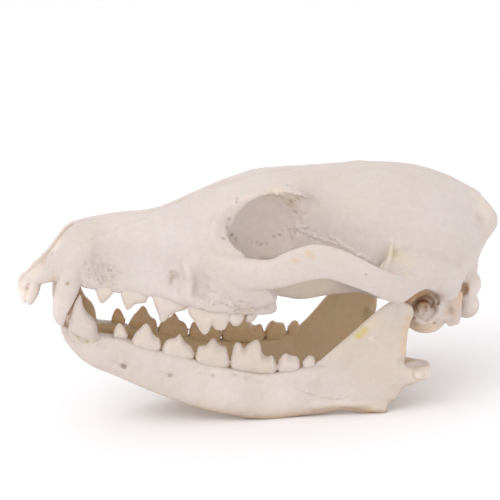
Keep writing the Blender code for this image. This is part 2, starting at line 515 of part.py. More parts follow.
def add_blade(shape, blade, side, down):
    """Add a cheek tooth whose biting edge follows an outline, with its root in the bone."""
    edge, front_y, hind_y, width = blade
    start, end = edge[0][0], edge[-1][0]
    gum = (edge[0][1] + edge[-1][1]) / 2
    root = gum + down * BLADE_ROOT
    angle = np.arange(BLADE_SIDES) * 2 * math.pi / BLADE_SIDES
    out, rise = section(angle, BLADE_SQUARE, BLADE_ROOT_SQUARE)
    rings = []
    for x, tip in edge:
        share = (x - start) / (end - start)
        full = max(1 - abs(2 * share - 1) ** BLADE_PLAN, 0.0) ** (1 / BLADE_PLAN)
        level = gum + BLADE_BULGE * (tip - gum)
        height = np.where(rise > 0, tip - level, level - root)
        middle = front_y + (hind_y - front_y) * share
        rings.append(np.column_stack((np.full(BLADE_SIDES, x),
                                      (middle + width * max(full, BLADE_END) * out) * side,
                                      level + height * rise)))
    add_rings(shape, rings)


def teeth(blades, canine, cusps, sides, down):
    """One closed object for each tooth or cusp, in a collection of its own."""
    group = new_group("teeth")
    for side in sides:
        for add, forms in ((add_blade, blades), (add_cusp, cusps)):
            for form in forms:
                shape = bmesh.new()
                add(shape, form, side, down)
                finish_shape(shape, "tooth", group)
        shape = bmesh.new()
        add_bent(shape, canine, side, up=(1, 0, 0), steps=1, sides=CANINE_SIDES)
        finish_shape(shape, "tooth", group)
    return group


def box(name, low, high, collection):
    """Block between two corners, in millimetres."""
    bpy.ops.mesh.primitive_cube_add(size=1.0)
    made = bpy.context.object
    made.name = name
    size = Vector(high) - Vector(low)
    middle = (Vector(high) + Vector(low)) / 2
    made.data.transform(Matrix.Translation(middle * MM) @ Matrix.Diagonal((*(size * MM), 1)))
    for owner in list(made.users_collection):
        owner.objects.unlink(made)
    collection.objects.link(made)
    return made


def skull_bone(group):
    """The skull without its lower jaw and teeth, as one skin."""
    shape = bmesh.new()
    add_bar(shape, level_curve(0.0), SNOUT_WIDTH, SNOUT_WIDEST, SNOUT_UNDER, SNOUT_TOP,
            SNOUT_UPPER_SQUARE, SNOUT_LOWER_SQUARE)
    add_bar(shape, level_curve(0.0), CASE_WIDTH, CASE_WIDEST, CASE_UNDER, ROOF, CASE_UPPER_SQUARE,
            CASE_LOWER_SQUARE)
    for side in (-1, 1):
        for stations in (TEMPORAL_SHELF, POSTORBITAL, ALVEOLAR_RIM, PTERYGOID_PLATE, NUCHAL_CREST):
            add_bent(shape, stations, side)
        for centre, radii in SKULL_BALLS:
            add_ball(shape, centre, radii, side)
    bone = finish_shape(shape, "skull", group)
    remesh(bone, BONE_VOXEL, EASE_ROUNDS)
    hollows = new_group("hollows")
    for centre, radii, pitch, turn in SKULL_HOLLOWS:
        for side in (-1, 1) if centre[1] else (1,):
            shape = bmesh.new()
            add_ball(shape, centre, radii, side, pitch, turn, HOLLOW_SIDES)
            finish_shape(shape, "hollow", hollows)
    combine(bone, "DIFFERENCE", hollows)
    drop_all(hollows)
    shape = bmesh.new()
    shape.from_mesh(bone.data)
    for side in (-1, 1):
        for stations in (ZYGOMATIC_ARCH, JAW_SOCKET_LIP, EAR_TUBE, EAR_LIP):
            add_bent(shape, stations, side)
        for stations in (ARCH_SWEEP, PAROCCIPITAL, MASTOID):
            add_bent(shape, stations, side, up=(1, 0, 0))
        add_bent(shape, CHEEK_WEB, side, up=CHEEK_WEB_UP)
        add_bent(shape, SHELF_SLOPE, side, up=SHELF_SLOPE_UP)
        add_bent(shape, ORBIT_RIM, side, up=(0, 1, 0))
    bmesh.ops.recalc_face_normals(shape, faces=shape.faces)
    shape.to_mesh(bone.data)
    shape.free()
    remesh(bone, BONE_VOXEL, LAST_ROUNDS)
    keep_largest(bone)
    sculpt(bone, SKULL_STROKES)
    return bone


def ramus_rings():
    """Level sections of the ramus of the left half, from below upwards."""
    angle = np.arange(RAMUS_SIDES) * 2 * math.pi / RAMUS_SIDES
    along_x, across = section(angle, JAW_SQUARE, JAW_SQUARE)
    rings = []
    for z in np.linspace(RAMUS_FRONT[0][0], RAMUS_FRONT[-1][0], RAMUS_LEVELS):
        front, hind = along(RAMUS_FRONT, z), along(RAMUS_HIND, z)
        x = (front + hind) / 2 + along_x * (hind - front) / 2
        y = (RAMUS_OUT + RAMUS_SPREAD * (x - RAMUS_START) + RAMUS_LEAN * max(z, 0.0)
             + across * along(RAMUS_HALF, z))
        rings.append(np.column_stack((x, y, np.full(len(x), z))))
    return rings


def jaw_bone(side, group):
    """One half of the lower jaw, without its teeth."""
    shape = bmesh.new()
    middle = [(x, y * side) for x, y in JAW_MIDDLE]
    level = [(x, (along(JAW_UNDER, x) + along(JAW_LINE, x)) / 2) for x, _ in JAW_UNDER]
    add_bar(shape, middle, JAW_THICK, level, JAW_UNDER, JAW_LINE, level_curve(JAW_TOP_SQUARE),
            level_curve(JAW_SQUARE))
    add_rings(shape, [ring * (1, side, 1) for ring in ramus_rings()])
    for stations in (CHIN_PLATE, CONDYLE, CONDYLE_NECK, NECK_RIDGE, ANGULAR_HOOK):
        add_bent(shape, stations, side)
    bone = finish_shape(shape, "jaw", group)
    remesh(bone, BONE_VOXEL, EASE_ROUNDS)
    keep_largest(bone)
    sculpt(bone, JAW_STROKES)
    return bone


def paint(made):
    """Bone material of the object's own."""
    material = bpy.data.materials.new(made.name + "_bone")
    material.use_nodes = True
    surface = material.node_tree.nodes["Principled BSDF"]
    surface.inputs["Base Color"].default_value = BONE_COLOUR
    surface.inputs["Roughness"].default_value = BONE_ROUGHNESS
    made.data.materials.clear()
    made.data.materials.append(material)


def pose(made, place):
    """Set a bone, shaped in its own frame, in the world."""
    made.rotation_euler = (0.0, NOSE_UP, 0.0)
    made.location = Vector(place) * MM


def part_out(whole, name, low, high, group):
    """Copy of the stretch of a bone between two corners, as a node."""
    piece = bpy.data.objects.new(name, whole.data.copy())
    group.objects.link(piece)
    region = new_group("region")
    box("region", low, high, region)
    combine(piece, "INTERSECT", region)
    drop_all(region)
    keep_largest(piece)
    paint(piece)
    pose(piece, SKULL_PLACE)
    return piece


def build_skull(group):
    """Face, braincase and the two cheek arches, parted by thin cuts."""
    whole = skull_bone(group)
    thin_out(whole, SKULL_TRIANGLES)
    upper_teeth = teeth(UPPER_BLADES, UPPER_CANINE, UPPER_CUSPS, (-1, 1), 1)
    combine(whole, "UNION", upper_teeth)
    drop_all(upper_teeth)
    keep_largest(whole)
    half = GAP / 2
    for side, name in ((-1, "left"), (1, "right")):
        edges = sorted((side * (ARCH_INNER + half), side * FAR))
        part_out(whole, "zygomatic_arch_" + name, (ARCH_FRONT + half, edges[0], -FAR),
                 (ARCH_REAR - half, edges[1], FAR), group)
    windows = new_group("windows")
    for side in (-1, 1):
        edges = sorted((side * (ARCH_INNER - half), side * FAR))
        box("window", (ARCH_FRONT - half, edges[0], -FAR), (ARCH_REAR + half, edges[1], FAR),
            windows)
    combine(whole, "DIFFERENCE", windows)
    drop_all(windows)
    part_out(whole, "facial_skull", (-FAR, -FAR, -FAR), (FACE_END - half, FAR, FAR), group)
    part_out(whole, "braincase", (FACE_END + half, -FAR, -FAR), (FAR, FAR, FAR), group)
    bpy.data.objects.remove(whole)


def build_jaw(group):
    """The two halves of the lower jaw, which meet at the chin and rest on small flats."""
    for side, name in ((-1, "left"), (1, "right")):
        bone = jaw_bone(side, group)
        reduce_faces(bone, JAW_TRIANGLES / (2 * len(bone.data.polygons)))
        lower_teeth = teeth(LOWER_BLADES, LOWER_CANINE, LOWER_CUSPS, (side,), -1)
        combine(bone, "UNION", lower_teeth)
        drop_all(lower_teeth)
        bone.name = "mandible_" + name
        pose(bone, JAW_PLACE)
        cuts = new_group("cuts")
        box("floor", (-FAR, -FAR, -FAR), (FAR, FAR, 0.0), cuts)
        edges = sorted((side * GAP / 2, -side * FAR / 2))
        box("other_side", (-FAR, edges[0], -FAR / 2), (FAR, edges[1], FAR / 2), cuts)
        combine(bone, "DIFFERENCE", cuts)
        drop_all(cuts)
        keep_largest(bone)
        paint(bone)


def main():
    for made in list(bpy.data.objects):
        bpy.data.objects.remove(made)
    group = new_group("canid_skull")
    build_skull(group)
    build_jaw(group)


main()
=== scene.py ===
"""Looks of a dog-like animal's skull, with its lower jaw lying loose under it.

The bones are shaped as in the CAD part, from the same curves and sizes, on a finer skin and
with the marks of real bone: seams, pores, nerve holes, muscle scars and ridges. As in the
part, x runs back along the tooth row, z goes up and y out to the side while they are shaped,
in millimetres.
"""

import json
import math

import bmesh
import bpy
import numpy as np
from mathutils import Matrix, Vector, noise

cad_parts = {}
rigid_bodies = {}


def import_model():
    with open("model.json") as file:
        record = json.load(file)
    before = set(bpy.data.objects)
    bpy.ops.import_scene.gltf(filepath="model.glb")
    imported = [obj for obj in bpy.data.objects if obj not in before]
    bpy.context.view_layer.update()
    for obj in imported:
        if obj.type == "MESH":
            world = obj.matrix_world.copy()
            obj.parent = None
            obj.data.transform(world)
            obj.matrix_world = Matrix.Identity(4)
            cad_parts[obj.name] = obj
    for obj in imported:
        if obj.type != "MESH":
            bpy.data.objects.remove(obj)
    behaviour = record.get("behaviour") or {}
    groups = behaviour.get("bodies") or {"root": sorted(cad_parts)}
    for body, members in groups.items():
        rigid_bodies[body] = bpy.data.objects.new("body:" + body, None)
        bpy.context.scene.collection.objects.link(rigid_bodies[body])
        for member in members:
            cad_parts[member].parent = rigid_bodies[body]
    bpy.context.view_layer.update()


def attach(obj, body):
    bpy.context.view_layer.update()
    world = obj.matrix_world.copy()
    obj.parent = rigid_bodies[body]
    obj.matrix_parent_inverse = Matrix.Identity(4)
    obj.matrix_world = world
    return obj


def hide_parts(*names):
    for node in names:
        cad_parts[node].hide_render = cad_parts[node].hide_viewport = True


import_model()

MM = 0.001
NOSE_UP = math.radians(12.2)
SKULL_PLACE = (-92.9, 0, 60.4)
JAW_PLACE = (-80.8, 0, 40.15)
GAP = 0.3

# How fine the shapes and their skins are
BAR_STEP = 2.0
BAR_SIDES = 32
BENT_SIDES = 14
BENT_SQUARE = 2.3
BALL_SIDES = 20
HOLLOW_SIDES = 64
PATH_STEPS = 4
CANINE_STEPS = 8
FUSE_VOXEL = 0.6
FINE_VOXEL = 0.45
TOOTH_VOXEL = 0.28

# How the creases of a skin are eased: how far its points move in a round, and the rounds
EASE = 0.5
FIRST_ROUNDS = 4
NEXT_ROUNDS = 3
TOOTH_ROUNDS = 5

# Guard against a division by zero, and how far the blocks reach that trim the lower jaw
TINY = 1e-9
FAR = 300.0

# Seeds of the noise and of the random draws
GRAIN_SEED = 40
PATCH_SEED = 80
SKULL_PORE_SEED = 5
JAW_PORE_SEED = 7
SCRATCH_SEED = 3

# Middle of the snout and the braincase, as a curve (x, y)
MIDLINE = ((0, 0), (1, 0))

# Roof of the skull in side view, from the nasal tip to the hind end (x, z)
ROOF = (
    (-4.5, 0.9), (-2.3, 3.7), (0.5, 7.9), (5, 13), (9, 19.9), (13.4, 25.9), (20.3, 29.1), (34.3, 32.9),
    (43.8, 34.8), (48.4, 36.4), (57.5, 41.6), (66.6, 46.2), (75.8, 50.1), (85, 53.5), (94.6, 56.1),
    (104.1, 58.6), (118.5, 61.5), (133.1, 63), (142.8, 63.6), (152.9, 62.8), (163.2, 60.4), (173.9, 56.2),
    (180.3, 52.8), (185.6, 47.4),
)

# Snout and palate: half width, height of the widest level, underside, and how square
# the upper and lower halves of the section are
SNOUT_WIDTH = (
    (-4.5, 6), (-2, 8), (3, 10.4), (9, 13.2), (15, 15.4), (20, 15.3), (27, 13.4), (36, 14), (48, 17),
    (56, 20.5), (63, 24.8), (70, 28), (78, 29.2), (88, 27.5), (95, 23),
)
SNOUT_WIDEST = ((-4.5, 0.4), (5, 5.6), (20, 10), (40, 9), (63, 11), (78, 12), (95, 10))
SNOUT_UNDER = (
    (-4.5, -0.2), (0, 0), (4, 1.7), (10.2, 4.2), (20.7, 5.6), (27.2, 3.6), (48.2, 3.8), (63, 3),
    (79.5, 3.6), (95, 5),
)
SNOUT_TOP = ROOF[:11] + ((66, 46.6), (72, 47.5), (78, 43), (84, 31), (95, 15))
SNOUT_UPPER_SQUARE = ((-4.5, 2.2), (30, 2.7), (48, 2.3), (63, 1.75), (78, 1.8), (95, 2))
SNOUT_LOWER_SQUARE = ((0, 3.2), (95, 3.6))

# Forehead and braincase
CASE_WIDTH = (
    (46, 5), (58, 11.5), (66, 15.5), (74, 18.4), (84, 20.4), (92, 21.2), (98, 20), (104, 17.6), (110, 17),
    (116, 19.4), (124, 24.4), (134, 28.8), (146, 30.2), (156, 29.6), (164, 26.6), (171, 21.5), (177, 15),
    (185.6, 5),
)
CASE_WIDEST = (
    (46, 22), (60, 34), (72, 42), (84, 48.6), (92, 50.4), (98, 49.6), (108, 43), (120, 37), (140, 34),
    (160, 31), (176, 35), (185.6, 44),
)
CASE_UNDER = (
    (46, 12), (72, 11), (95, 12), (112, 13), (125, 11.5), (140, 9), (160, 7.5), (170, 9), (175, 16),
    (178, 27), (181, 37), (185.6, 41.4),
)
CASE_UPPER_SQUARE = ((46, 2), (72, 2.2), (98, 2.4), (125, 2.15), (185.6, 2.2))
CASE_LOWER_SQUARE = ((46, 2), (72, 1.9), (95, 1.9), (108, 1.9), (125, 2), (150, 2.5), (185.6, 2.2))

# Bent pieces of the left half as stations: x, y, z, half height, half thickness
ZYGOMATIC_ARCH = (
    (64, 19, 17.5, 8, 4), (76, 29, 20, 7.2, 4.4), (84, 35.2, 21.4, 6.3, 3.8), (92, 40.6, 24, 5.9, 3.1),
    (98, 44.4, 28.1, 6.5, 2.8), (105.5, 48.2, 32, 7, 2.6), (112, 50.6, 32.6, 6.4, 2.5),
    (118, 52, 31.2, 6.1, 2.5), (126, 53, 28.8, 5.4, 2.6), (134, 50.8, 25.8, 5.4, 3.4),
    (141, 44.5, 23.4, 5.8, 5), (147, 35, 23, 6, 7), (151, 25, 23, 6, 7),
)
CHEEK_WEB = (
    (60, 18, 9.6, 4, 2), (74, 27, 10.6, 6.8, 3.2), (84, 31, 11.8, 7.4, 3.4), (89, 32.8, 13.2, 6.4, 3),
    (92.8, 35, 15.2, 4.2, 2.4),
)
CHEEK_WEB_UP = (0, 0.55, 0.84)
ORBIT_RIM = (
    (80, 30, 24.8, 2.4, 3.2), (76, 26.4, 26.4, 2.4, 3.4), (72.4, 23.2, 29.2, 2.2, 3.6),
    (71.2, 20.2, 33, 1.7, 3.4), (71.6, 18, 37.2, 1.5, 3), (73.4, 16.6, 41.6, 1.3, 2.2),
    (76.2, 16.2, 45.8, 1.1, 1.2),
)
ARCH_SWEEP = (
    (134, 43, 27, 1.6, 3), (136, 36.5, 30.2, 1.3, 3.4), (137.4, 31.5, 34.6, 1, 2.6),
    (138, 28.6, 38.2, 0.7, 1.4),
)
TEMPORAL_SHELF = (
    (139, 44, 23, 5.2, 4), (147, 37.6, 24.4, 5, 4.6), (155, 32, 25.4, 5.4, 5), (163, 27.8, 24, 6.4, 4.6),
    (167, 25.4, 24, 6, 4),
)
SHELF_SLOPE = (
    (134.6, 40.6, 27.4, 1.8, 4), (140, 36.8, 29, 2.4, 6.4), (147, 33.6, 30.2, 2.6, 7.6),
    (155, 30, 30.4, 2.6, 7.8), (163, 26.6, 28.8, 2.4, 6.4), (168, 24.6, 27, 1.6, 4),
)
SHELF_SLOPE_UP = (0, 0.6, 0.8)
JAW_SOCKET_LIP = (
    (141, 46.5, 21, 2.6, 3), (144.6, 40.5, 20.2, 2.8, 3.6), (147, 34, 19, 3.2, 3.4),
    (148, 28, 17.1, 3.4, 3),
)
POSTORBITAL = (
    (88, 13, 50.6, 1.6, 5.5), (96, 19, 50.8, 1.9, 5), (100.5, 22.6, 50.8, 1.8, 3),
    (103.4, 24.2, 50.2, 1, 1.6),
)
ALVEOLAR_RIM = (
    (20, 12.8, 7.6, 3.6, 2.6), (34, 12.8, 6.4, 3.5, 2.3), (50, 16.6, 7.2, 3.6, 2.6),
    (60, 21.4, 6.6, 3.8, 3.2), (70, 25.8, 6, 3.8, 3.4), (80, 26.6, 6.2, 3.8, 3.6),
    (88, 25.8, 6.8, 4.2, 3.4), (93, 25.4, 7.4, 4.2, 3.2), (95.4, 24.6, 8.4, 4, 2.6),
)
PTERYGOID_PLATE = (
    (86, 10, 10.5, 5.6, 2.2), (97, 9.4, 12.2, 5.6, 1.6), (108, 9.2, 11.8, 6, 1.4),
    (119, 9.6, 14.2, 5.4, 1.3), (132, 10.4, 16, 4.2, 1.8),
)
NUCHAL_CREST = (
    (184.6, 0, 43.8, 3.8, 2.2), (181.4, 6.5, 42, 3.2, 2.2), (177, 12.5, 38.2, 2.8, 2),
    (172.8, 18.5, 33.2, 2.8, 2), (169.2, 23.6, 28.2, 3, 2.2), (166, 26.8, 23, 3.4, 2.6),
    (164.4, 27.6, 17.6, 3.2, 2.4),
)
PAROCCIPITAL = (
    (166, 22.6, 19, 5, 3.4), (166.2, 24.6, 13, 4.8, 2.6), (167.6, 24.6, 9, 3.8, 2),
    (169, 24.2, 5.4, 2.4, 1.3),
)
MASTOID = ((161.6, 24.8, 16, 2.8, 3), (161.8, 25.8, 10.4, 2.4, 2.3), (162, 25.4, 5.6, 1.7, 1.3))
EAR_TUBE = ((157, 18, 11, 3.6, 3.6), (155.2, 24, 12, 2.8, 2.8), (154.8, 28.2, 12.4, 2.6, 2.6))
EAR_LIP = (
    (148.6, 25, 11.4, 1.2, 1.6), (151, 27.4, 8.4, 1.5, 1.6), (155, 28.2, 6.6, 1.6, 1.6),
    (159, 27.8, 8, 1.6, 1.6), (161.4, 26.8, 12, 1.5, 1.8), (161, 26.4, 16, 1.5, 1.8),
)

# Round masses: centre and radii, left half
SKULL_BALLS = (
    ((158.2, 16.5, 8), (9.8, 8.8, 9.1)), ((156, 21.5, 13), (9, 6, 7)),
    ((175.6, 11.6, 11), (5.8, 6.2, 5.6)), ((173.6, 12.5, 20), (7, 7.5, 6.4)),
    ((163, 26.4, 19), (4, 3.6, 5)), ((166.6, 0, 26), (14, 21, 13)),
)

# Hollows cut into the left half and the midline: centre, radii, pitch and turn in degrees
SKULL_HOLLOWS = (
    ((91.6, 28, 34), (21.5, 15.5, 19), 40, 4), ((3.4, 0, 14.8), (17.5, 3.8, 6.6), 37, 0),
    ((184, 0, 15.6), (9, 7.2, 6.2), 0, 0), ((154.8, 28.8, 12.6), (6, 5.6, 5.4), 0, 0),
    ((171.8, 22, 18), (2.4, 6, 5), 0, 0), ((58, 24, 13.8), (7, 2.6, 1.9), 0, 32),
    ((112, 0, 9), (21, 7.4, 6.6), -4, 0),
)

# Broad strokes, as marks whose paths lie off the skin: reach, height, no roughness, points
SKULL_STROKES = (
    (3.2, 0.9, 0, (99, 24, 51), (105, 19, 57), (114, 12, 61), (126, 6, 63), (140, 2, 64.6),
        (160, 0.5, 61.5), (176, 0, 55)),
    (5, -1, 0, (20, 0, 30), (40, 0, 35), (56, 0, 42), (72, 0, 50), (88, 0, 57), (98, 0, 59)),
    (9, -0.9, 0, (30, 14, 16), (44, 15, 18), (54, 17, 22)),
    (5, -1.2, 0, (64, 25, 12), (69, 28, 13), (76, 30, 12)),
    (6, 0.6, 0, (15, 15, 7), (17, 14.5, 14), (21, 12, 20)),
    (4.6, 1, 0, (60.6, 23, 8), (60.6, 23.5, 14), (61.4, 21.5, 21)),
    (7.5, 1.4, 0, (67.5, 26, 26), (66.5, 22.5, 32), (67, 20, 37)),
    (4.6, 0.9, 0, (84, 31, 15.5), (90, 30.5, 12.5), (94, 28.6, 12)),
    (7, -0.8, 0, (107, 19, 47), (109, 19, 38), (111, 19, 28)),
    (7, 0.7, 0, (143, 30, 36), (150, 30.5, 36.5), (158, 29, 36), (164, 26, 34)),
    (3.4, -1.4, 0, (176, 9, 6.5), (168, 8, 5)),
    (9, -2.2, 0, (36, 0, 4), (60, 0, 4), (84, 0, 4)),
)

# Lower jaw body, from the chin to below the last tooth: middle of the bar, half
# thickness, lower border and tooth line
JAW_MIDDLE = (
    (-2.4, 3.6), (0, 5), (3, 6.2), (10, 8.9), (18, 9.9), (31, 12), (45, 15.2), (60, 18.3), (75, 21.6),
    (90, 24.2), (104, 27.6), (118, 31),
)
JAW_THICK = (
    (-2.4, 3.2), (1, 4.6), (6, 5.2), (14, 5.1), (24, 4.1), (45, 3.7), (75, 4.1), (95, 3.6), (108, 3),
    (118, 1.2),
)
JAW_UNDER = (
    (-2.4, 1.4), (-1, -2), (1.4, -4.9), (4.4, -7.8), (8.8, -10.5), (14.8, -13), (24.8, -15.8),
    (34.9, -18.9), (44.7, -21), (54.6, -22.9), (64.3, -23.9), (73.9, -24.2), (83.4, -23.5), (92.6, -21.2),
    (101.8, -18.3), (110, -15.4), (118, -13.8),
)
JAW_LINE = (
    (-2.4, 3.4), (2, 3.4), (8, 2.4), (14, 1.8), (20.6, 1.8), (31.9, -0.8), (45.9, -2), (59.7, -4),
    (76, -4.6), (89.6, -1.8), (97.8, 1.4), (105, 3), (118, -2),
)
CHIN_PLATE = (
    (3.8, 2.4, -2.8, 4, 3.4), (10, 3.2, -5.4, 4.4, 4), (20, 4, -9.4, 5, 4.6), (30, 4.4, -13.2, 4.4, 4.8),
    (36, 6, -16, 3, 3.4),
)

# Ramus: front and hind edge of each level z, and its middle and half thickness
RAMUS_FRONT = (
    (-15, 104), (-8, 94), (0, 96.5), (4.2, 100.3), (14.1, 108.3), (24.7, 116.4), (32, 122.6), (34, 125.6),
)
RAMUS_HIND = (
    (-15, 122), (-12, 127.4), (-9, 129.8), (-7, 132.2), (-3.6, 133.6), (0, 135.4), (4, 135.6),
    (11.2, 133), (22.6, 132.4), (30.6, 133), (32.6, 131.6), (34, 128.4),
)
JAW_UPPER_SQUARE = ((0, 3.8), (1, 3.8))
JAW_LOWER_SQUARE = ((0, 2.6), (1, 2.6))
RAMUS_SQUARE = 2.6
RAMUS_START = 97.0
RAMUS_OUT = 25.2
RAMUS_SPREAD = 0.24
RAMUS_LEAN = 0.10
RAMUS_LEVELS = 26
RAMUS_SIDES = 28
RAMUS_HALF = ((-15, 1.6), (-4, 2.3), (8, 2.3), (20, 2.1), (34, 1.7))
CONDYLE = (
    (143.4, 24.4, 4.6, 2.2, 2.2), (142.6, 28, 4.8, 2.9, 2.8), (140.8, 35, 5.2, 2.9, 3.1),
    (139, 38.6, 5.2, 2.2, 3.2), (138, 40.6, 5, 1.1, 2.2),
)
CONDYLE_NECK = ((127, 32.8, 1.5, 7, 2.4), (134, 33.6, 3, 4.8, 3), (139.4, 34.2, 4.6, 3.2, 4))
NECK_RIDGE = ((128, 31.6, 9, 3, 1.4), (134.6, 28.4, 7, 2, 1.3), (143.6, 26.4, 6.2, 1.6, 1.3))
ANGULAR_HOOK = (
    (108, 29, -10.4, 3.6, 2.4), (118, 31.2, -11, 3, 2.4), (124.5, 32.2, -11.3, 2.8, 2.4),
    (128.8, 32.9, -11.4, 2.3, 1.8),
)
JAW_STROKES = (
    (10, -1.4, 0, (112, 33, 2), (118, 34.5, 8), (123, 36.5, 18)),
    (3, 0.9, 0, (99, 30, -2), (107, 33, 10), (116, 36, 22), (122, 38, 30)),
    (3, 0.7, 0, (100, 30, -14.5), (110, 32.5, -12), (120, 34.5, -10)),
    (8, -1, 0, (100, 24, -8), (112, 28, -6), (122, 30, -2)),
    (3.6, -1.3, 0, (132, 36, 8.6), (137, 34, 8.4), (142, 31, 8.2)),
)

# Cheek teeth of the left half as blades: outline of the biting edge (x, z), y of the middle at
# the front and hind end, and half width
UPPER_BLADES = (
    (((25.7, 3.2), (26.9, 0.5), (27.8, -1.3), (29, -1.8), (30.3, -0.4), (32.6, 3)), 13, 13.4, 2.1),
    (((35.7, 3.2), (36.7, 0.2), (37.9, -2.1), (39, -3.4), (40.6, -1.8), (42, -0.4), (45.7, 0.6),
        (46.6, 3.2)), 13.8, 15, 2.4),
    (((47.8, 4), (49.4, 0.3), (51.3, -3.5), (52.4, -6.3), (53.6, -5.9), (56.2, -2.6), (57.7, -1.2),
        (61.8, 0.8), (62.6, 3)), 16.2, 20, 2.8),
    (((61.6, 3.6), (62.4, 0.4), (65.2, -3), (67.9, -6.5), (69.4, -7.6), (70.8, -6.8), (72, -3.4),
        (73, -4.4), (74.6, -5), (77, -4.3), (78, -1.9), (78.4, 1.6)), 22.6, 26.8, 3.2),
    (((78, 1.5), (78.5, -0.9), (81, -2.7), (82.8, -2.2), (83.7, -0.2), (84.2, 1.6)), 26, 25.6, 3.6),
    (((84.6, 2.6), (85.2, -0.6), (86.9, -1.2), (88.3, -0.6), (89.8, 2.6)), 24.4, 22.8, 3.2),
)
LOWER_BLADES = (
    (((18.6, 1.4), (18.9, 4.8), (20.4, 7.5), (21.5, 7.1), (23.4, 4.8), (24.4, 1.4)), 10.4, 10.8, 2.1),
    (((26, -0.6), (26.4, 2.4), (29.1, 6.7), (31, 8.9), (32.5, 8.1), (33.9, 5.6), (35.4, 4), (36.6, 3.6),
        (37.5, 2.2), (37.9, 0.4), (38, -0.8)), 11.8, 13.6, 2.6),
    (((38.4, -1.4), (39, 1.6), (40.7, 3.7), (43.1, 4.6), (44.7, 6.4), (46, 5), (47.4, 3.2), (48.7, 2.7),
        (50.1, 1.5), (50.9, -0.4), (51.3, -3.2)), 14, 16.4, 2.8),
    (((51.8, -2.4), (52.1, 0.6), (52.7, 2.5), (55.8, 3.8), (57.1, 5.9), (58.3, 6.8), (59.8, 5.2),
        (61.4, 4.2), (63, 4), (63.9, 2.9), (64.8, 0.8), (65.5, -1.6), (65.6, -4.2)), 16.8, 19, 3),
    (((65.8, -2), (66, 3.6), (67.3, 6.8), (68.8, 6.2), (70.3, 4.6), (72.1, 6.8), (74.8, 8.6), (76.4, 7.4),
        (77.9, 3.1), (79.8, 2.2), (81.6, 2.9), (84, -0.6), (84.3, -3.2)), 19.8, 22.6, 3.5),
    (((84.4, -2.2), (84.6, 1.6), (87.1, 4.6), (88.9, 3.9), (91.2, 3.9), (92.8, 2.3),
        (93.3, -0.6)), 22.8, 23.8, 3.1),
    (((93.9, 0), (94.4, 2.9), (96.5, 5.1), (98.2, 4.4), (99.4, 0.6)), 24.4, 25.2, 2.4),
)
BLADE_ROOT = 3.8
BLADE_BULGE = 0.3
BLADE_SQUARE = 1.5
BLADE_ROOT_SQUARE = 1.7
BLADE_PLAN = 2.8
BLADE_END = 0.4

# Canines of the left half as stations: x, y, z, half length, half width
UPPER_CANINE = (
    (18.4, 10.8, 17, 3.4, 2.4), (16, 12.8, 10, 4.2, 3), (14.6, 13.8, 4.2, 4.7, 3.4),
    (13.4, 13.9, -1.2, 4.1, 3.1), (12.5, 14.2, -6.2, 3.1, 2.5), (12.9, 14.4, -9.4, 2.2, 1.9),
    (13.9, 14.4, -11.9, 0.8, 0.8),
)
LOWER_CANINE = (
    (9, 9.4, -4.5, 4.6, 3.2), (7.2, 10, 1, 5.6, 3.8), (5.6, 11.4, 5.4, 5.6, 3.7),
    (3.8, 12.2, 9.6, 3.7, 3), (3.1, 12.6, 14, 2.2, 2.1), (3.7, 12.8, 18.3, 0.6, 0.6),
)

# Incisors and inner cusps of the molars: x, y and z of the foot, lean of the tip in x and y,
# height, half length and half width
ROOT_DEPTH = 2.2
ROOT_SIZE = 0.5
UPPER_CUSPS = (
    (-2.8, 2.1, 0.8, 0.6, 0, 7.6, 2, 2), (-2.5, 5.6, 0.8, 0.6, 0.2, 7.6, 2.2, 2.2),
    (1.8, 8.6, 1.4, -1.5, 0.2, 7.6, 2.5, 2.4), (65.4, 20.8, 5, 0.2, -0.2, 6.4, 2.6, 2.6),
    (82.6, 20.4, 5, 0, 0, 5.2, 3.4, 4.6), (88.4, 19.2, 5.4, 0, 0, 4, 2.4, 3.2),
)
LOWER_CUSPS = (
    (1.2, 1.9, 3, -1.4, 0, 5, 1.5, 1.5), (1.8, 4.8, 3, -1.2, 0.2, 5, 1.6, 1.6),
    (3.2, 7.4, 2.4, -1.2, 0.3, 4.6, 1.7, 1.6),
)

# How far from the skin a mark's point may lie. Of a mark with a broken height: the grain, how
# uneven it is and its greatest share of the height
SNAP_REACH = 8.0
MARK_GRAIN = 1.3
MARK_BREAK = 2.4
MARK_MOST = 1.6

